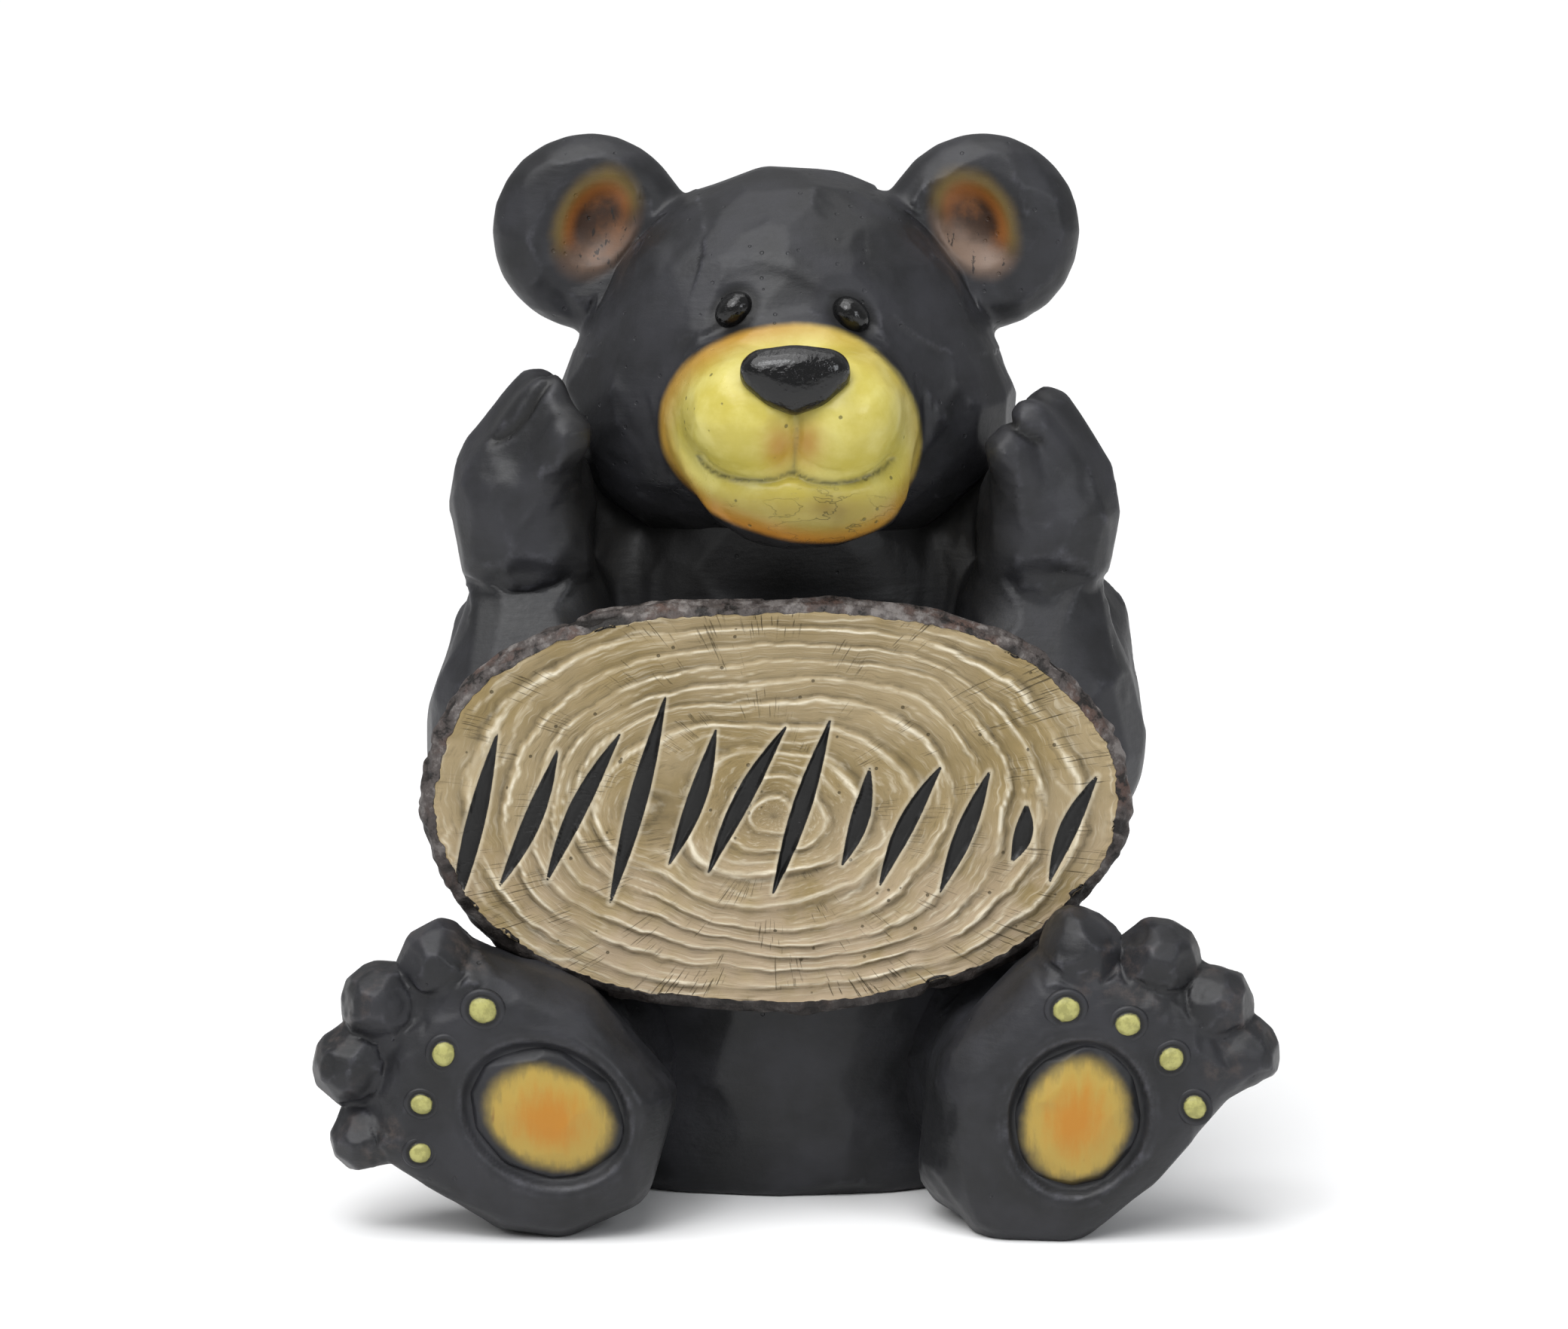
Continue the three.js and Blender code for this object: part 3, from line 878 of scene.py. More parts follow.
@dataclass(frozen=True)
class SlicePaint:
    """The log slice: dry-brushed rings, a dark wash in the grooves, black strokes and bark."""

    name: str = "painted_log_slice"
    tan: Triple = (0.300, 0.232, 0.126)
    gold: Triple = (0.235, 0.172, 0.072)
    pink: Triple = (0.330, 0.255, 0.165)
    cream: Triple = (0.620, 0.560, 0.430)
    wash: Triple = (0.050, 0.036, 0.014)
    stroke: Triple = (0.0080, 0.0078, 0.0076)
    bark: Triple = (0.056, 0.047, 0.044)
    bark_red: Triple = (0.072, 0.040, 0.030)
    bark_grey: Triple = (0.165, 0.150, 0.142)
    bark_crack: Triple = (0.010, 0.008, 0.007)

    def make(self) -> bpy.types.Material:
        """The material."""
        bench = Bench(self.name)
        low = bench.marked("low")
        edge = bench.marked("stroke")
        cloud = bench.noise(22.0, 4.0, 0.55)
        patch = bench.noise(55.0, 4.0, 0.6)
        dry = bench.noise(240.0, 5.0, 0.7)
        along = bench.place((5.0, 5.0, 9.0), bench.marked("along", "Vector"))
        lines = bench.noise(1.0, 3.0, 0.6, along)
        around = bench.place((150.0, 150.0, 7.0), bench.marked("round", "Vector"))
        comb = bench.noise(1.0, 2.0, 0.5, around)
        combed = bench.times(bench.ease(comb, 0.40, 0.30), bench.marked("comb"))
        pits = bench.dots(190.0, 0.17, 0.20)
        crest = bench.times(bench.marked("crest"), bench.ease(dry, 0.25, 0.5, 0.35, 1.0))
        groove = bench.times(bench.marked("groove"), bench.ease(dry, 0.25, 0.6, 1.0, 0.6))
        wood = bench.coats(
            self.tan,
            (bench.ease(cloud, 0.4, 0.65), self.gold),
            (bench.times(low, bench.ease(patch, 0.3, 0.6)), self.pink),
            (bench.ease(lines, 0.52, 0.74, 0.0, 0.38), self.cream),
            (bench.ease(lines, 0.44, 0.28, 0.0, 0.30), self.wash),
            (bench.times(bench.marked("sunk"), 0.30), self.wash),
            (crest, self.cream),
            (groove, self.wash),
            (bench.times(combed, 0.85), self.wash),
            (bench.times(pits, 0.8), self.wash),
            (bench.ease(edge, 2.2, 0.4, 0.0, 0.35), self.cream),
        )
        scale = bench.noise(130.0, 5.0, 0.65, bench.place((1.0, 0.5, 1.0)))
        rind = bench.coats(
            self.bark,
            (bench.ease(patch, 0.52, 0.68, 0.0, 0.8), self.bark_red),
            (bench.ease(scale, 0.50, 0.66, 0.0, 0.9), self.bark_grey),
            (bench.ease(scale, 0.48, 0.38), self.bark_crack),
            (bench.marked("cleft"), self.bark_crack),
            # The bark is also darkened towards the bottom of the slice, in the cracks' colour.
            (bench.times(low, 0.7), self.bark_crack),
        )
        barky = bench.ease(bench.sway(bench.marked("rind"), 1.8, dry), -0.5, 0.5)
        painted = bench.ease(bench.sway(edge, 0.5, dry), -0.10, 0.25, 1.0, 0.0)
        colour = bench.coats(wood, (barky, rind), (painted, self.stroke))
        rough = bench.more(bench.more(0.46, 0.22, dry), -0.18, painted)
        height = bench.more(bench.times(lines, 1.1), -1.0, combed)
        height = bench.more(bench.more(height, 0.5, dry), -0.9, pits)
        height = bench.more(height, 4.0, bench.times(scale, barky))
        height = bench.times(height, bench.more(1.0, -0.75, painted))
        return bench.close(colour, rough, bench.bump(height, 0.00045), shine=0.3)


# The bear.


def mark_wear_and_painted_shade(skin: Skin, hollow: Array, dust: Array | None = None) -> None:
    """Marks a black skin's worn ridges and its dust for its paint, and where painted shade darkens
    it.

    Args:
        skin: the carved skin.
        hollow: how much painted shade darkens each point, from 0 to 1: how hollow it was before it
            was carved, and other places in shade.
        dust: how much brown dust lies on it.
    """
    bend = skin.hollow(1)
    scale = float(np.percentile(-bend, 90)) + 1e-9
    near = np.clip(2.5 * skin.blur(hollow, 6), 0.0, 1.0)
    skin.mark("ridge", ease(0.8, 3.0, -bend / scale) * (1.0 - near))
    # painted shade: the crease mark darkens the black where the skin lies in shade
    skin.mark("crease", 0.9 * hollow)
    skin.mark("dust", np.zeros(len(skin.x)) if dust is None else dust)


@dataclass
class Head:
    """The skull, the ears and the muzzle, with the nose and the eyes."""

    voxel: float = 1.42
    skull: Hull = (
        Mass((0.5, 2, 352.5), (86, 79, 81.5)),
        Mass((0.5, 0, 332), (98, 76, 68)),
    )
    muzzle: Hull = (
        Mass((2.5, -66, 331), (54, 30, 45)),
        Mass((7.5, -85.5, 303.5), (42.5, 27, 22.8)),
    )
    nose: Hull = (
        Mass((-9.0, -115.5, 355.4), (9.8, 9.5, 9.4)),
        Mass((16.4, -115.5, 355.4), (9.8, 9.5, 9.6)),
        Mass((4.0, -116.0, 357.2), (18, 10, 9.2)),
        Mass((3.8, -117.0, 350.6), (17.5, 10, 11.2)),
        Mass((3.3, -116.0, 348.4), (8, 9.5, 10.4)),
    )
    paint_middle: tuple[float, float] = (3.0, 329.5)
    paint_waves: tuple[float, ...] = (49.1, -1.6, 0.13, -5.3, -2.02, 0.8, 1.5)
    mouth: Sequence[tuple[float, float]] = (
        (-36, 318.8), (-33.5, 315.5), (-27.5, 312.2), (-16, 310.3), (-5, 311.0), (2.6, 313.6),
        (10, 310.7), (20, 309.4), (30, 310.6), (39, 314.2), (44, 318.0),
    )
    philtrum: Sequence[tuple[float, float]] = ((4.4, 341.0), (4.2, 328.0), (3.0, 313.6))
    eye_half: tuple[float, float] = (8.4, 6.2)
    eye_size: Triple = (8.9, 7.8, 6.8)
    eye_depth: float = -65.4
    eye_tilt: float = 44.0
    ear_half: tuple[float, float] = (16.0, 23.0)
    ear_lean: float = -28.0
    # creases: painted shade in the head's creases, kept off the muzzle
    creases: Array = field(default_factory=lambda: np.zeros(0))

    def ear(self, side: Side) -> list[Hull]:
        """An ear's round disc on its broad root."""
        s = side.value
        return [(Mass((84 * s, 11, 406), (26, 4, 26), 16), Mass((52 * s, 9, 384), (18, 4, 17), 12))]

    def lip(self, side: Side) -> Hull:
        """A puffed upper lip."""
        s = side.value
        return (
            Mass((3.0 + 24 * s, -70, 337), (26.5, 30, 30)),
            Mass((3.5 + 19 * s, -93, 336), (26.5, 29, 26.5)),
        )

    def eye_middle(self, side: Side) -> tuple[float, float]:
        """The middle of an eye, seen from the front."""
        return (27.0, 375.4) if side is Side.LEFT else (-21.6, 377.4)

    def paint_edge(self, x: Array, z: Array) -> Array:
        """How far inside the muzzle's paint each point is, seen from the front."""
        angle = np.arctan2(x - self.paint_middle[0], z - self.paint_middle[1])
        reach = np.full(len(x), self.paint_waves[0])
        for n in (1, 2, 3):
            reach += self.paint_waves[2 * n - 1] * np.cos(n * angle)
            reach += self.paint_waves[2 * n] * np.sin(n * angle)
        return reach - np.hypot(x - self.paint_middle[0], z - self.paint_middle[1])

    def shape(self) -> Skin:
        """Fuses, presses and carves the head."""
        skin = fuse(
            [self.skull, *self.ear(Side.RIGHT), *self.ear(Side.LEFT), self.muzzle,
             self.lip(Side.RIGHT), self.lip(Side.LEFT)],
            self.voxel,
            detail=3,
        )
        front = skin.y < FRONT
        edge = self.paint_edge(skin.x, skin.z)
        on_muzzle = ease(-6.0, 6.0, edge) * front
        skin.relax(3)
        skin.fill(26, 0.8)
        skin.relax(14, 0.5, on_muzzle)
        for side in Side:
            s = side.value
            skin.dish(Mass((83 * s, -12.6, 407), (34, 7.8, 34)))
            skin.dish(Mass((80 * s, -14, 410), (17, 14.5, 23), 0.0, self.ear_lean * s))
        ears = self.ear_share(skin)
        skin.relax(6, 0.5, ease(1.7, 1.2, ears) * (skin.y < 14))
        muzzle_calm = 1.0 - 0.55 * on_muzzle
        width = np.where(on_muzzle > 0.5, 17.0, 21.0)
        width = np.where((np.abs(skin.x) > 62) & (skin.z > 372), 15.0, width)
        hollow = ease(0.02, 0.10, skin.hollow(3))
        # Painted shade in the head's creases, kept off the muzzle.
        self.creases = hollow * (1.0 - on_muzzle)
        in_ear = ease(1.1, 0.9, ears) * (skin.y < 14)
        across = np.hypot(np.abs(skin.x) - 84.0, skin.z - 406.0)
        rim = ease(30.0, 38.0, across) * (across < 50.0)
        keep = muzzle_calm * (1.0 - 0.8 * hollow) * (1.0 - 0.8 * in_ear) * (1.0 - 0.8 * rim)
        skin.carve(width, 3, keep, 0.25, 0.045)
        self.press_face(skin, front)
        return skin

    def press_face(self, skin: Skin, front: Array) -> None:
        """Presses the mouth, the line under the nose and the eye sockets into the front."""
        x, z = skin.x, skin.z
        mouth = line_distance(x, z, smooth_line(self.mouth))
        crease = line_distance(x, z, self.philtrum)
        depth = 2.1 * bell(mouth, 1.5) + 1.1 * bell(mouth, 5.0)
        depth += 1.5 * bell(crease, 1.3) + 0.8 * bell(crease, 4.0)
        skin.push(-depth * front)
        for side in Side:
            middle = self.eye_middle(side)
            apart = oval_distance(skin.x, skin.z, middle, self.eye_half,
                                  self.eye_tilt * side.value)
            skin.push(1.4 * ease(1.7, 0.95, apart) * front, (0.0, 1.0, 0.0))
        skin.relax(1, 0.3)

    def ear_share(self, skin: Skin) -> Array:
        """How far each point lies from the middle of the nearer ear's hollow."""
        shares = [
            oval_distance(skin.x, skin.z, (80.5 * side.value, 410.5), self.ear_half,
                          self.ear_lean * side.value)
            for side in Side
        ]
        return np.minimum(*shares)

    def dress(self, skin: Skin) -> None:
        """Marks the head's skin for its paint."""
        x, z = skin.x, skin.z
        front = skin.y < FRONT
        sockets = [
            oval_distance(x, z, self.eye_middle(side), self.eye_half, self.eye_tilt * side.value)
            for side in Side
        ]
        # Painted shade: a dark ring round the eye sockets, the underside of the head and the
        # creases, all given to the crease mark.
        around = 0.8 * bell(np.minimum(*sockets) - 1.1, 0.28) * front
        below = 0.75 * ease(303.0, 284.0, z)
        mark_wear_and_painted_shade(skin, np.maximum.reduce([self.creases, below, around]))
        edge = np.where(front, self.paint_edge(x, z), -30.0)
        skin.mark("muzzle", np.clip(edge, -30.0, 30.0))
        angle = np.arctan2(x - self.paint_middle[0], z - self.paint_middle[1])
        glow = 0.60 + 0.30 * np.cos(angle - math.radians(-125)) + 0.2 * np.cos(2 * angle + 0.5)
        skin.mark("glow", np.clip(glow, 0.15, 1.0))
        mouth = line_distance(x, z, smooth_line(self.mouth))
        crease = line_distance(x, z, self.philtrum)
        lips = 0.7 * bell(mouth, 0.9) + 0.4 * bell(crease, 0.8) + 0.22 * bell(mouth, 3.5)
        skin.mark("lips", np.clip(lips, 0.0, 0.9) * front)
        stain = 0.0
        for spot in ((-3.0, 325.0), (8.8, 326.5)):
            stain = stain + 0.7 * bell(np.hypot((x - spot[0]) / 6.0, (z - spot[1]) / 9.0), 1.0)
        skin.mark("stain", np.clip(stain, 0.0, 0.8) * front)
        skin.mark("chin", ease(313.0, 298.0, z) * front)
        ears = np.where(skin.y < 12, self.ear_share(skin), 9.0)
        skin.mark("ear", np.clip(ears, 0.0, 9.0))
        # The ear's hollow turns pink towards its bottom and its inner side, less on the right ear,
        # and keeps its brown towards the top and the outer side, where the orange ring is.
        down = (407.0 - z) / 14.0 + (80.5 - np.abs(x)) / 26.0
        skin.mark("ear_low", ease(-0.35, 0.75, down) * np.where(x > 0, 1.0, 0.55))
        skin.mark("ear_outer", ease(0.5, -0.6, down))

    def build(self) -> None:
        """Builds the head, the nose and the eyes."""
        skin = self.shape()
        self.dress(skin)
        skin.finish("bear_head", FacePaint().make(), Slot.BEAR, "bear")
        gloss = GlossBlack().make()
        nose = fuse([self.nose], 0.6)
        nose.relax(4)
        nose.carve(np.full(len(nose.x), 13.0), 8, np.full(len(nose.x), 0.22), 0.2, 0.03, 0.25)
        nose.relax(3, 0.5)
        nose.finish("bear_nose", gloss, Slot.BEAR, "bear")
        for side in Side:
            x, z = self.eye_middle(side)
            dome = Mass((x, self.eye_depth, z), self.eye_size, 0.0, self.eye_tilt * side.value)
            eye = fuse([(dome,)], 0.5)
            eye.relax(2)
            eye.finish(f"bear_eye_{side.name.lower()}", gloss, Slot.BEAR, "bear")


@dataclass
class Arm:
    """An arm with its mitten paw, whose fingers are given from tip to root."""

    side: Side
    shoulder: Mass
    palm: Triple
    heel: Triple
    fingers: Sequence[tuple[Triple, Triple]]
    groove: Sequence[tuple[float, float]]
    facet: tuple[Triple, Triple]

    def hulls(self) -> list[Hull]:
        """The arm's masses."""
        s = self.side.value
        made: list[Hull] = [
            (self.shoulder, Mass((113 * s, -38, 194), (40, 48, 48))),
            (Mass((110 * s, -52, 214), (38.5, 35, 36)), Mass((103.5 * s, -45, 254), (32, 25, 22))),
            (Mass(self.palm, (31.5, 30, 37)), Mass(self.heel, (29, 26, 20))),
            (Mass((84 * s, 2, 286), (24, 30, 36)), Mass((70 * s, 8, 250), (30, 40, 30))),
        ]
        made += [(Mass(tip, (12, 12, 12)), Mass(root, (13, 14, 13))) for tip, root in self.fingers]
        return made


@dataclass
class Body:
    """The torso with the arms."""

    voxel: float = 2.02
    torso: Hull = (
        Mass((0, 8, 22), (90, 56, 30), 22),
        Mass((0, -2, 125), (112, 88, 90)),
        Mass((0, 12, 215), (98, 70, 60)),
        Mass((0, 16, 272), (84, 50, 32)),
    )
    neck: Hull = (Mass((0, -10, 284), (54, 42, 36)), Mass((0, -4, 256), (80, 46, 40)))
    arms: Sequence[Arm] = (
        Arm(Side.RIGHT, Mass((-98, 2, 232), (46, 46, 32)), (-110, -46, 296), (-108, -48, 273), (
            ((-89, -72, 326), (-105, -63, 304)),
            ((-99, -60, 339), (-117, -55, 316)),
            ((-105, -46, 340), (-124, -44, 314)),
        ), ((-99, 348), (-103.2, 342.5), (-108.6, 333.3), (-115.8, 326), (-122, 323.5)),
            ((-107.9, -74.2, 244), (-0.05, -0.88, 0.45))),
        Arm(Side.LEFT, Mass((100, 2, 237), (48, 46, 32)), (109, -46, 289), (108, -48, 271), (
            ((91, -71, 319), (104, -62, 298)),
            ((102, -62, 329), (117, -56, 309)),
            ((110, -48, 332), (124, -44, 309)),
        ), ((85, 337), (90.3, 333.3), (97.5, 328.7), (105.4, 322.9)),
            ((110, -74.2, 244), (0.05, -0.88, 0.45))),
    )

    @staticmethod
    def soften(skin: Skin) -> None:
        """Lets the chest under the chin and the upper arms run on smoothly."""
        across = np.abs(skin.x)
        chest = ease(98.0, 84.0, across) * ease(226.0, 242.0, skin.z) * (skin.y < 10)
        skin.relax(60, 0.5, chest)
        arm = ease(96.0, 112.0, across) * ease(260.0, 246.0, skin.z) * ease(120.0, 140.0, skin.z)
        skin.relax(30, 0.5, arm)

    def build(self) -> None:
        """Builds the torso and the arms."""
        hulls = [self.torso, self.neck]
        for arm in self.arms:
            hulls += arm.hulls()
        skin = fuse(hulls, self.voxel, grounded=True, detail=3)
        skin.relax(2)
        self.soften(skin)
        paws = ease(262.0, 273.0, skin.z) * ease(60.0, 72.0, np.abs(skin.x))
        skin.fill(14, 0.8, 1.0 - 0.85 * paws)
        skin.fill(3, 0.7, paws)
        width = 24.0 - 9.5 * paws
        hollow = ease(0.04, 0.22, skin.hollow(3))
        floor = ease(2.0, 8.0, skin.z)
        tips = 0.5 * ease(316.0, 328.0, skin.z)
        skin.carve(width, 11, (1.0 - 0.75 * hollow) * (1.0 - tips) * floor, 0.3, 0.05)
        gap = np.full(len(hollow), FAR)
        for arm in self.arms:
            skin.shave(*arm.facet, 26.0)
            gap = np.minimum(gap, line_distance(skin.x, skin.z, smooth_line(arm.groove)))
        gap = np.where(skin.y < FRONT, gap, FAR)
        skin.push(-2.4 * bell(gap, 1.7) - 0.8 * bell(gap, 4.5))
        # Painted shade: the finger grooves, and the chest and the inner arms under the chin, are
        # darkened through the crease mark.
        hollow = np.maximum(hollow, bell(gap, 1.8))
        shade = 0.9 * ease(100.0, 76.0, np.abs(skin.x)) * ease(236.0, 264.0, skin.z)
        shade *= skin.y < 20
        mark_wear_and_painted_shade(skin, np.maximum(hollow, shade))
        skin.finish("bear_body", BearPaint().make(), Slot.BEAR, "bear")


@dataclass
class Foot:
    """A leg with its foot, whose rounds are given as X, Z and radius, seen from the front."""

    side: Side
    hip: Triple
    ankle: Triple
    sole: Sequence[Triple]
    toes: Sequence[Triple]
    heel: Hull
    pad_middle: tuple[float, float]
    pad_half: tuple[float, float]
    pad_tilt: float
    paint_middle: tuple[float, float]
    paint_half: tuple[float, float]
    buttons: Sequence[Triple]
    voxel: float = 1.25
    front: float = -145.0
    depth: float = 58.0
    edge: float = 13.0
    recess: float = 4.0
    groove: float = 2.0
    crown: float = 2.5
    swell: float = 9.0
    web: float = 24.0
    button_profile: Sequence[tuple[float, float]] = (
        (0.0, 2.1), (0.35, 2.05), (0.62, 1.8), (0.80, 1.35), (0.90, 0.8), (0.97, 0.2),
        (1.05, -0.15), (1.14, -0.1), (1.24, 0.15), (1.34, 0.2), (1.48, 0.0), (1.62, -0.7),
        (1.62, -2.5), (0.0, -2.5),
    )

    def hulls(self) -> list[Hull]:
        """The masses of the shin, the sole and the toes."""
        middle = self.front + self.depth / 2
        plate = tuple(
            Mass((x, middle, z), (r - self.edge, self.depth / 2 - self.edge, r - self.edge),
                 self.edge)
            for x, z, r in self.sole
        )
        px, pz = self.pad_middle
        made: list[Hull] = [
            (Mass(self.hip, (54, 52, 58)), Mass(self.ankle, (42, 38, 50))),
            plate,
            self.heel,
        ]
        for x, z, r in self.toes:
            made.append((
                Mass((x, middle - 5, z), (r, r + 5, r)),
                Mass((x * 0.88 + px * 0.12, middle + 4, z * 0.88 + pz * 0.12), (r - 2, r, r - 2)),
            ))
        for (x0, z0, _), (x1, z1, _) in zip(self.toes[:-1], self.toes[1:]):
            x, z = (x0 + x1) / 2, (z0 + z1) / 2
            made.append((Mass((x * 0.84 + px * 0.16, middle + 2, z * 0.84 + pz * 0.16),
                              (12, self.web, 12)),))
        return made

    def toe_share(self, skin: Skin) -> Array:
        """How far each point lies from the nearest toe, as a share of the toe's radius."""
        shares = [np.hypot(skin.x - x, skin.z - z) / r for x, z, r in self.toes]
        return np.minimum.reduce(shares)

    def build(self) -> None:
        """Builds the foot, its pad and its buttons."""
        name = self.side.name.lower()
        seed = 40 + self.side.value
        skin = fuse(self.hulls(), self.voxel, grounded=True, detail=3)
        skin.relax(2)
        toes = ease(1.25, 1.0, self.toe_share(skin))
        skin.fill(16, 0.8)
        sole = ease(self.front + 9.0, self.front + 3.0, skin.y) * (1.0 - toes)
        width = 20.0 - 8.0 * toes
        hollow = ease(0.03, 0.15, skin.hollow(2))
        floor = ease(2.0, 7.0, skin.z)
        edge = 0.5 * ease(self.front + 34.0, self.front + 20.0, skin.y) * (1.0 - toes)
        keep = (1.0 - np.maximum(0.65 * sole, edge)) * (1.0 - 0.75 * hollow) * floor
        skin.carve(width, seed, keep, 0.25, 0.05)
        share = oval_distance(skin.x, skin.z, self.pad_middle,
                              (self.pad_half[0] + self.groove, self.pad_half[1] + self.groove),
                              self.pad_tilt)
        ahead = ease(self.front + 14.0, self.front + 8.0, skin.y)
        rolled = 0.9 * bell(share - 1.16, 0.10)
        skin.push((self.recess * ease(1.06, 0.92, share) - rolled) * ahead, (0.0, 1.0, 0.0))
        skin.relax(1, 0.3)
        # Painted shade in the foot's creases, and brown dust on the toes.
        mark_wear_and_painted_shade(skin, hollow, 0.8 * toes * ease(0.0, 1.0, waves(skin.places, 30.0, seed) + 0.4))
        black = BearPaint(name=f"satin_black_{name}_foot").make()
        skin.finish(f"bear_foot_{name}", black, Slot.BEAR, "bear")
        self.build_pad(name)
        for number, (x, z, r) in enumerate(self.buttons):
            self.build_button(f"bear_button_{name}_{number + 1}", x, z, r)

    def build_pad(self, name: str) -> None:
        """Builds the sole pad."""
        x, z = self.pad_middle
        dome = Mass((x, self.front + self.swell - self.crown, z),
                    (self.pad_half[0], self.swell, self.pad_half[1]), 0.0, self.pad_tilt)
        pad = fuse([(dome,)], 0.8)
        pad.relax(2)
        pad.carve(np.full(len(pad.x), 15.0), int(abs(x)), np.full(len(pad.x), 0.8), 0.3, 0.05)
        mark_wear_and_painted_shade(pad, np.zeros(len(pad.x)))
        pad.mark("pad", oval_distance(pad.x, pad.z, self.paint_middle, self.paint_half,
                                      self.pad_tilt))
        paint = PadPaint(name=f"airbrushed_pad_{name}").make()
        pad.finish(f"bear_pad_{name}", paint, Slot.BEAR, "bear")

    def build_button(self, name: str, x: float, z: float, radius: float) -> None:
        """Builds a small toe pad: a boss in a ring groove, spun round its own axis."""
        profile = [(share * radius, 0.0, height) for share, height in self.button_profile]
        skin = Skin(spun(name, profile, 40, 1e-4))
        share = np.hypot(skin.x, skin.y) / radius
        across, up, out = skin.x.copy(), skin.y.copy(), skin.z.copy()
        wobble = 1.0 + 0.05 * np.sin(2.0 * np.arctan2(up, across) + x)
        skin.places = np.stack([x + across * wobble, self.front - out, z + up * wobble], 1)
        skin.mark("button", share)
        skin.mark("ridge", bell(share - 1.32, 0.12) * 0.25)
        # Painted shade in the ring groove round the boss.
        skin.mark("crease", 0.9 * bell(share - 1.08, 0.16))
        skin.mark("dust", np.zeros(len(share)))
        paint = bpy.data.materials.get("dry_yellow") or ButtonPaint().make()
        skin.finish(name, paint, Slot.BEAR, "bear")


RIGHT_FOOT = Foot(
    side=Side.RIGHT,
    hip=(-80, -6, 60),
    ankle=(-96, -88, 56),
    sole=((-126, 99, 21), (-91, 85, 21), (-66, 56, 21), (-73, 27, 20), (-94, 16, 19),
          (-113, 19, 19), (-144, 46, 18), (-149, 74, 19), (-157, 42, 14)),
    toes=((-142, 113, 17), (-166, 96, 17.5), (-178, 71, 17), (-173, 41, 15.5)),
    heel=(Mass((-84, -96, 30), (30, 34, 28)), Mass((-88, -92, 62), (32, 36, 34))),
    pad_middle=(-98, 54),
    pad_half=(33, 26.5),
    pad_tilt=25,
    paint_middle=(-96.8, 52.6),
    paint_half=(26.5, 20.0),
    buttons=((-123.4, 97.7, 5.6), (-139.5, 79.5, 5.0), (-148.7, 58.6, 4.4), (-149.5, 38.3, 4.4)),
)
LEFT_FOOT = Foot(
    side=Side.LEFT,
    hip=(82, -6, 60),
    ankle=(104, -88, 56),
    sole=((111, 99, 20), (90, 62, 30), (94, 16, 24), (113, 11, 18), (143, 36, 18),
          (172, 70, 18), (150, 93, 20)),
    toes=((120, 118, 17.5), (153, 114, 17.5), (175, 96, 17), (187, 75, 16)),
    heel=(Mass((80, -100, 26), (26, 34, 25)), Mass((88, -98, 62), (30, 36, 34))),
    pad_middle=(119.5, 52.5),
    pad_half=(26, 30),
    pad_tilt=14,
    paint_middle=(118.6, 51.6),
    paint_half=(21.0, 25.4),
    buttons=((114.2, 98, 5.4), (139.5, 91.8, 5.0), (157.2, 77.5, 5.0), (167, 57.3, 4.8)),
)


# The log slice.


def saw(turn: Array, crest: float, power: float = 1.0) -> Array:
    """A rise from 0 to 1 up to a crest, and a soft drop after it."""
    return np.where(turn < crest, (turn / crest) ** power, 1.0 - ease(crest, 1.0, turn))


@dataclass
class Lay:
    """Each point of the slice while it lies.

    The radius is a share of the oval's, the bark's inset and the height are in millimetres,
    around is the way from the middle, and face and side say which part the point is on.
    """

    row: Array
    radius: Array
    inset: Array
    height: Array
    around: Array
    face: Array
    side: Array


@dataclass
class Rings:
    """How far through its ring each point is, and how strong that ring is."""

    phase: Array
    turn: Array
    strong: Array
    half_turn: Array
    minor: Array


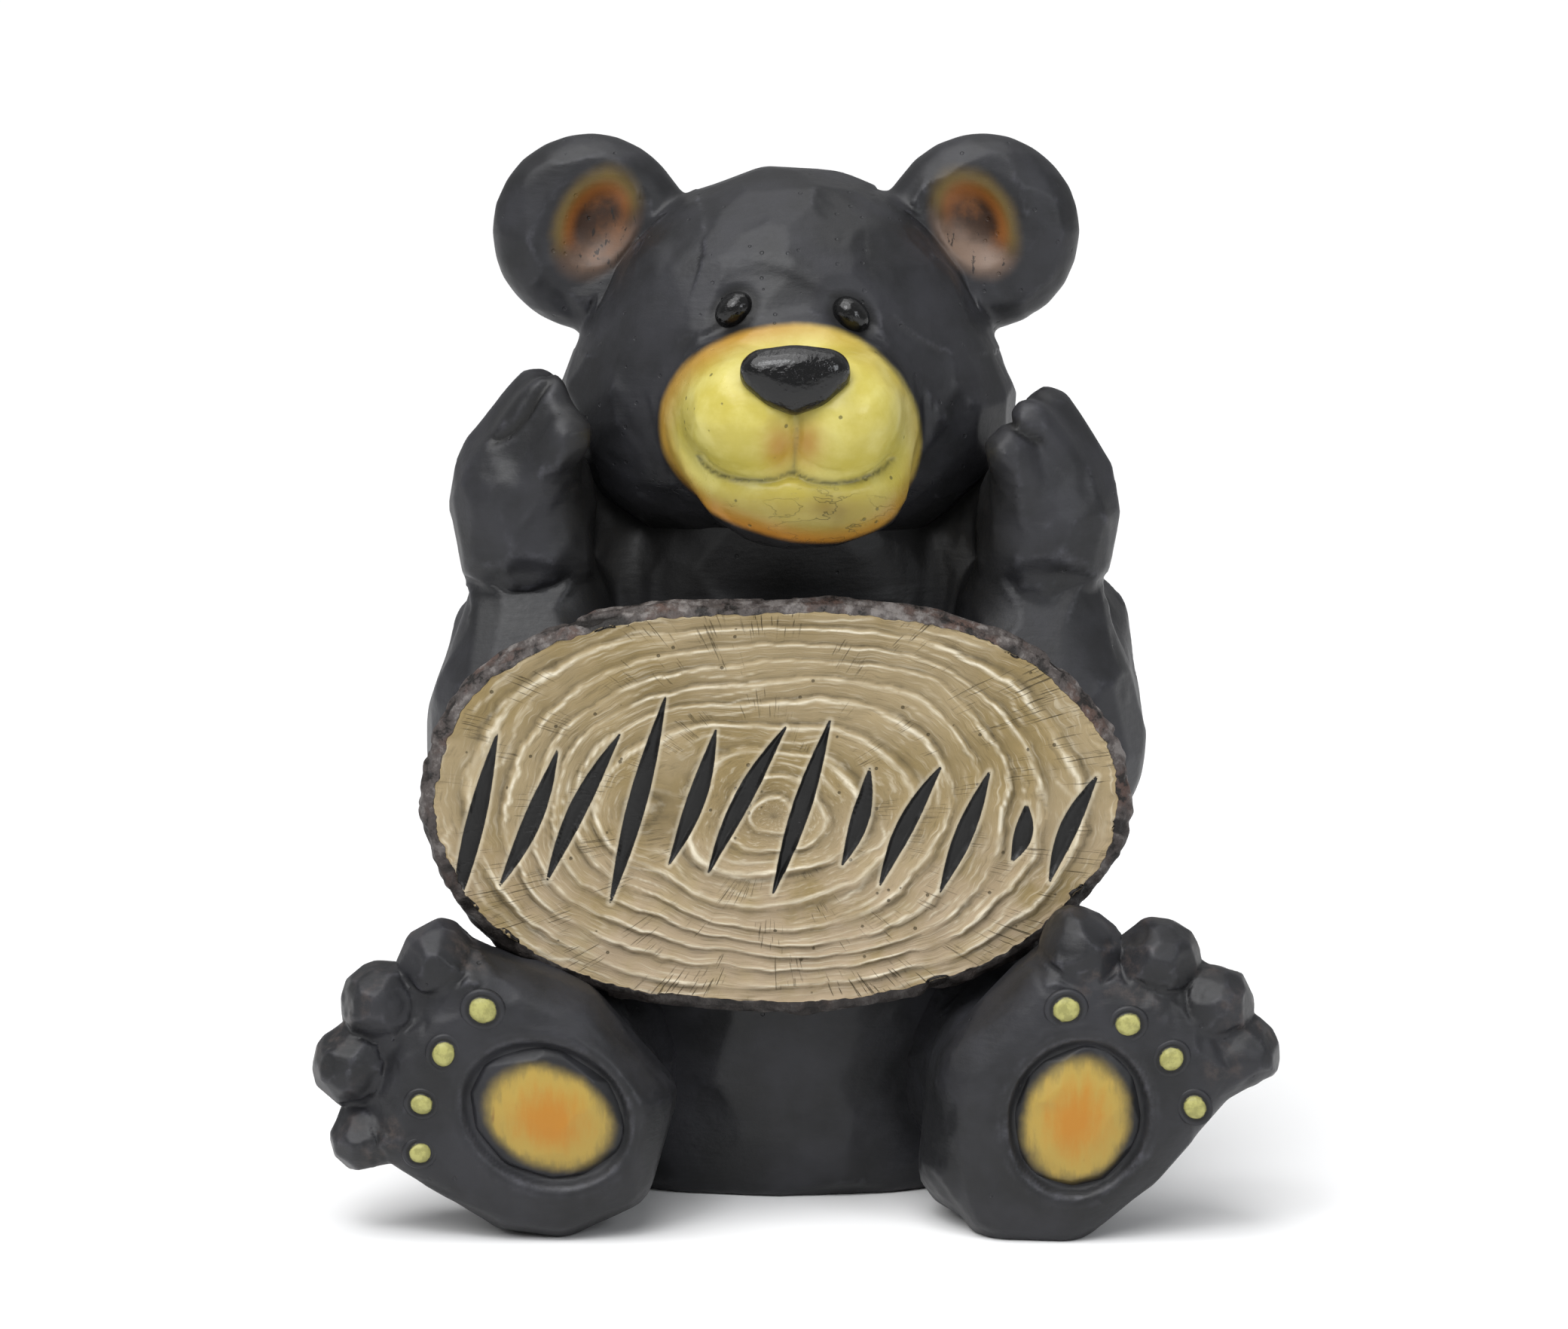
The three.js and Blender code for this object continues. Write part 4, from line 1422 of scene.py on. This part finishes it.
@dataclass
class LogSlice:
    """The oval log slice, drawn lying down and stood up before the belly."""

    width: float = 298.0
    height: float = 174.0
    thickness: float = 22.5
    bark: float = 4.8
    lean: float = 2.5
    turn: float = 2.0
    place: Triple = (-5.5, -87.0, 174.4)
    relief: float = 1.1
    carving: float = 1.9
    stroke_depth: float = 2.0
    stroke_width: float = 7.5
    strokes: int = 12
    rings: float = 9.5
    steps: int = 640
    side_rows: int = 24
    face_rows: int = 118
    whorl: tuple[float, float] = (-64.0, -4.0)

    def rows(self) -> list[Triple]:
        """The slice's profile rows: share of the radius, inset from the bark, height."""
        face = self.thickness - self.relief
        stops = np.array([
            (self.bark / 2, 0.0), (0.0, self.thickness * 0.25), (0.0, self.thickness * 0.6),
            (self.bark * 0.35, self.thickness * 0.88), (self.bark, face),
        ])
        run = np.concatenate([[0.0], np.cumsum(np.hypot(*np.diff(stops, axis=0).T))])
        made = [(0.0, 0.0, 0.0), (0.6, 0.0, 0.0)]
        for at in np.linspace(0.0, run[-1], self.side_rows):
            made.append((1.0, float(np.interp(at, run, stops[:, 0])),
                         float(np.interp(at, run, stops[:, 1]))))
        for k in range(1, self.face_rows):
            made.append((1.0 - k / self.face_rows, self.bark, face))
        return [*made, (0.0, self.bark, face)]

    def outline(self, angle: Array) -> Array:
        """The outline's radius at an angle from the top, as a share of a true oval."""
        return (1 + 0.004 * np.cos(2 * angle) + 0.008 * np.cos(angle)
                - 0.012 * np.cos(3 * angle - 0.35)
                - 0.0175 * np.cos(4 * angle) + 0.0055 * np.sin(5 * angle - 0.7)
                - 0.005 * np.cos(6 * angle) + 0.004 * np.sin(11 * angle))

    def lay_out(self) -> tuple[Skin, Lay]:
        """Spins the rows, and says where each point of the skin came from."""
        rows = self.rows()
        profile = [(0.0, radius, float(k)) for k, (radius, _, _) in enumerate(rows)]
        skin = Skin(spun("slice", profile, self.steps, 1e-6))
        row = np.round(skin.z).astype(int)
        angle = np.arctan2(skin.x, skin.y)
        face = row >= 2 + self.side_rows
        around = np.stack([np.sin(angle), np.cos(angle)], 1)
        return skin, Lay(row, *np.array(rows)[row].T, around, face, (row >= 2) & ~face)

    def plan(self, lay: Lay, grow: Array) -> Array:
        """Where each point lies across and up, seen from the front.

        Args:
            lay: the points as they lie.
            grow: how far each is moved outwards.

        Returns:
            X and Z for each point.
        """
        angle = np.arctan2(*lay.around.T)
        inner = 1.0 - lay.radius
        oval = self.outline(angle) * (1 + inner * 0.09 * np.sin(3 * angle + 9 * lay.radius))
        wide = (self.width / 2) * oval * (1 - 0.12 * inner)
        high = (self.height / 2) * oval * (1 + 0.16 * inner)
        x, z = lay.radius * (np.stack([wide, high]) + grow) * lay.around.T
        return np.stack([x, z - 0.022 * self.height * inner], 1)

    @staticmethod
    def bark_growth(lay: Lay, above: Array) -> tuple[Array, Array]:
        """How far the bark stands out at each point, and where it is cleft."""
        space = np.hstack([lay.around * 70.0, (lay.height * 1.6)[:, None]])
        lumps = swells(space, (0.7, 26.0, 5), (0.6, 9.0, 6), (0.35, 5.0, 26))
        clefts = ease(0.52, 0.85, waves(space * np.array([1, 1, 0.45]), 12.0, 7))
        grow = (lumps * 1.1 - clefts * 2.0) * lay.side * ease(-1.0, 3.0, lay.height)
        return grow + 0.8 * lay.side * above * ease(21.4, 10.0, lay.height), clefts

    def grow_rings(self, flat: Array, radius: Array) -> Rings:
        """Lays out the rings, which wander, and bend round the whorl."""
        x, z = flat.T
        blot = 0.17 * bell(np.hypot((x - self.whorl[0]) / 19.0, (z - self.whorl[1]) / 25.0), 1.0)
        wander = swells(flat, (0.011, 52.0, 10), (0.006, 21.0, 11), (0.003, 8.0, 12))
        level = radius - blot + wander
        phase = self.rings * (level + 0.03 * np.sin(level * 9.0))
        half = phase * 2.0 + 0.35 * waves(flat, 35.0, 14)
        return Rings(
            phase=phase,
            turn=phase - np.floor(phase),
            strong=np.clip(0.70 + 0.50 * waves(flat, 42.0, 13), 0.15, 1.25),
            half_turn=half - np.floor(half),
            minor=np.clip(waves(flat, 38.0, 15), 0.0, 1.0),
        )

    def carved(self, rings: Rings, flat: Array, rim: Array, gap: Array) -> Array:
        """How far the face stands out at each point.

        Args:
            rings: the growth rings.
            flat: X and Z for each point.
            rim: the share of the rings' relief near the rim, and the rim's own height.
            gap: the distance from the nearest stroke.

        Returns:
            The relief of the rings, the rim and the sunk strokes.
        """
        lift = self.carving * (rings.strong * saw(rings.turn, 0.82, 1.6) - 0.4)
        lift += 0.36 * rings.minor * (saw(rings.half_turn, 0.8) - 0.4)
        lift += 0.22 * waves(flat, 14.0, 16)
        lift = lift * rim[0] + rim[1] + 0.35 * bell(gap - 1.1, 0.9) * (gap > 0)
        floor = -self.stroke_depth - 0.1 + 0.12 * waves(flat, 18.0, 17)
        cut = ease(0.1, -1.4, gap)
        return lift * (1.0 - cut) + floor * cut

    def stroke_edge(self, x: Array, z: Array) -> Array:
        """The distance of points on the face from the nearest stroke, under 0 inside it."""
        near = np.full(len(x), FAR)
        for n in range(self.strokes):
            t = n / (self.strokes - 1) - 0.5
            tall = 0.32 + 0.1 * math.cos(4 * t + 1) + 0.09 * math.cos(n * 2.2)
            length = self.height * tall
            cx = t * self.width * 0.83
            cz = self.height * (0.045 * math.sin(6 * t + 2.4) - 0.02)
            lean = math.radians(21 - 7 * math.cos(n * 1.9))
            bow = self.stroke_width * 0.3 * math.sin(n * 2.1)
            ax, az = math.sin(lean), math.cos(lean)
            run = np.clip(((x - cx) * ax + (z - cz) * az) / length, -0.5, 0.5)
            half = self.stroke_width / 2 * (0.1 + 0.9 * np.sin(math.pi * (run + 0.5)))
            gap = np.hypot(x - cx - ax * length * run - bow * (1 - 4 * run * run),
                           z - cz - az * length * run)
            near = np.minimum(near, gap - half)
        return near

    def build(self) -> None:
        """Builds the slice."""
        skin, lay = self.lay_out()
        above = np.clip(lay.around[:, 1], 0.0, 1.0)
        ragged = swells(lay.around * 150.0, (0.9, 16.0, 8), (0.5, 5.0, 9))
        grow, clefts = self.bark_growth(lay, above)
        grow += bell(lay.row - 2.0 - self.side_rows, 3.0) * ragged * 0.6 * (lay.radius > 0.9)
        flat = self.plan(lay, grow - lay.inset * (1.0 - 0.15 * above))
        rings = self.grow_rings(flat, lay.radius)
        gap = self.stroke_edge(*flat.T)
        inside = ease(1.0, 0.965, lay.radius)
        rim = np.stack([inside, -0.9 * (1.0 - inside) * np.clip(ragged, -0.3, 1.2)])
        depth = lay.height + self.carved(rings, flat, rim, gap) * lay.face
        stood = Matrix.Rotation(math.radians(self.turn), 4, "Z") @ Matrix.Rotation(
            math.radians(-self.lean), 4, "X")
        spin = np.array(stood.to_3x3())
        lying = np.stack([flat[:, 0], -depth, flat[:, 1]], 1)
        skin.places = lying @ spin.T + np.array(self.place)
        self.dress(skin, lay, rings, flat, gap)
        skin.mark("cleft", clefts * lay.side)
        self.outwards(skin)
        skin.finish("log_slice", SlicePaint().make(), Slot.PLAQUE, "log_slice_sign")

    @staticmethod
    def dress(skin: Skin, lay: Lay, rings: Rings, flat: Array, gap: Array) -> None:
        """Marks the slice for its paint.

        Args:
            skin: the slice's skin.
            lay: its points as they lie.
            rings: its growth rings.
            flat: X and Z for each point.
            gap: the distance from the nearest stroke.
        """
        face, radius = lay.face, lay.radius
        skin.mark("stroke", np.where(face, np.clip(gap, -4.0, 6.0), 6.0))
        crest = bell(rings.turn - 0.80, 0.05) * rings.strong
        skin.mark("crest", (crest + 0.6 * rings.minor * bell(rings.half_turn - 0.8, 0.08)) * face)
        skin.mark("sunk", np.clip(1.0 - rings.turn / 0.75, 0.0, 1.0) ** 1.5 * face)
        wrapped = np.minimum(rings.turn, 1.0 - rings.turn)
        skin.mark("groove", 0.9 * np.clip(bell(wrapped, 0.075) * rings.strong, 0, 1) * face)
        patchy = ease(-0.1, 0.5, waves(lay.around * 110.0, 34.0, 18))
        outer = ease(0.80, 0.92, radius) * ease(1.0, 0.985, radius)
        mid = 0.7 * ease(0.2, 0.7, waves(flat, 24.0, 19))
        skin.mark("comb", np.clip(outer * patchy + mid * (radius > 0.3), 0.0, 1.0) * face)
        skin.mark("low", ease(20.0, -60.0, flat[:, 1]))
        skin.mark("rind", np.where(face, -4.0 + 4.4 * ease(0.978, 1.0, radius), 4.0))
        skin.mark("along", np.hstack([lay.around, rings.phase[:, None]]))
        skin.mark("round", np.hstack([lay.around, radius[:, None]]))

    @staticmethod
    def outwards(skin: Skin) -> None:
        """Turns the faces outwards, which the stand-up may have turned inside out."""
        normals = skin.normals()
        front = skin.y < np.percentile(skin.y, 40)
        if float(normals[front, 1].mean()) > 0.0:
            skin.mesh.flip_normals()


# The studio.


@dataclass(frozen=True)
class Softbox:
    """A square soft light."""

    name: str
    at: Triple
    aim: Triple
    side: float
    power: float
    colour: Triple = (1.0, 1.0, 1.0)

    def hang(self) -> None:
        """Hangs the light."""
        lamp = bpy.data.lights.new(self.name, "AREA")
        lamp.shape = "SQUARE"
        lamp.size = self.side
        lamp.energy = self.power
        lamp.color = self.colour
        rig = put(self.name, lamp)
        rig.location = self.at
        aim(rig, Vector(self.aim) - Vector(self.at))


@dataclass(frozen=True)
class Studio:
    """The pale floor, the soft lights and the camera at the photograph's angle."""

    camera_at: Triple = (0.0, -2.1986, 0.5212)
    camera_aim: Triple = (-0.0008, -0.020, 0.2227)
    lens: float = 117.97
    floor_half: float = 150.0
    floor_colour: Triple = (0.90, 0.90, 0.90)
    lights: Sequence[Softbox] = field(default_factory=lambda: (
        Softbox("key", (-0.55, -1.25, 1.75), (0.0, -0.05, 0.28), 0.5, 6.0, (0.97, 0.98, 1.0)),
        Softbox("fill", (1.20, -1.45, 1.00), (0.0, -0.05, 0.25), 0.6, 7.0, (0.93, 0.96, 1.0)),
        Softbox("top", (0.05, 0.10, 1.60), (0.0, -0.05, 0.30), 0.9, 4.0),
    ))
    sun_from: Triple = (-0.35, -0.55, 1.0)
    sun_power: float = 2.9
    sun_width: float = 62.0

    def build(self) -> None:
        """Sets up the studio."""
        self.build_camera()
        self.build_floor()
        self.build_sky()
        self.build_sun()
        for light in self.lights:
            light.hang()
        bpy.context.scene.view_settings.view_transform = "Standard"

    def build_camera(self) -> None:
        """Sets the camera where the photograph was taken from."""
        lens = bpy.data.cameras.new("camera")
        lens.lens = self.lens
        lens.sensor_width = 36.0
        lens.clip_end = 1000.0
        camera = put("camera", lens)
        camera.location = self.camera_at
        aim(camera, Vector(self.camera_aim) - Vector(self.camera_at))
        bpy.context.scene.camera = camera

    def build_sun(self) -> None:
        """Hangs a broad soft light far off, which reaches all of the floor."""
        lamp = bpy.data.lights.new("sky_panel", "SUN")
        lamp.energy = self.sun_power
        lamp.angle = math.radians(self.sun_width)
        aim(put("sky_panel", lamp), -Vector(self.sun_from))

    def build_floor(self) -> None:
        """Lays the pale floor just below the statue."""
        bm = bmesh.new()
        bmesh.ops.create_grid(bm, x_segments=2, y_segments=2, size=self.floor_half)
        bmesh.ops.translate(bm, vec=(0.0, 0.0, -FLOOR_DROP), verts=bm.verts[:])
        mesh = mesh_of(bm, "floor")
        mesh.materials.append(Bench("pale_floor").close(self.floor_colour, 0.8, shine=0.2))
        floor = put("floor", mesh)
        floor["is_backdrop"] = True

    def build_sky(self) -> None:
        """Lights the room evenly, brighter from above."""
        world = bpy.data.worlds.new("room")
        world.use_nodes = True
        tree = world.node_tree
        tree.nodes.clear()
        where = tree.nodes.new("ShaderNodeTexCoord")
        split = tree.nodes.new("ShaderNodeSeparateXYZ")
        tree.links.new(where.outputs["Generated"], split.inputs[0])
        bright = tree.nodes.new("ShaderNodeMapRange")
        bright.interpolation_type = "SMOOTHSTEP"
        for socket, value in zip(bright.inputs[1:5], (-0.1, 0.9, 0.36, 0.44)):
            socket.default_value = value
        tree.links.new(split.outputs["Z"], bright.inputs[0])
        glow = tree.nodes.new("ShaderNodeBackground")
        glow.inputs["Color"].default_value = (0.985, 0.99, 1.0, 1.0)
        tree.links.new(bright.outputs[0], glow.inputs["Strength"])
        out = tree.nodes.new("ShaderNodeOutputWorld")
        tree.links.new(glow.outputs[0], out.inputs["Surface"])
        bpy.context.scene.world = world


def corners() -> list[list[float]]:
    """The lowest and the highest corner of what is shown."""
    return [[float(v) for v in corner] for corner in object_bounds()]


def main() -> None:
    """Builds the statue's looks round its CAD frame."""
    logging.basicConfig(level=logging.INFO, format="%(relativeCreated)d ms %(message)s")
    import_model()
    Studio().build()
    Head().build()
    Body().build()
    RIGHT_FOOT.build()
    LEFT_FOOT.build()
    LogSlice().build()


if __name__ == "__main__":
    main()
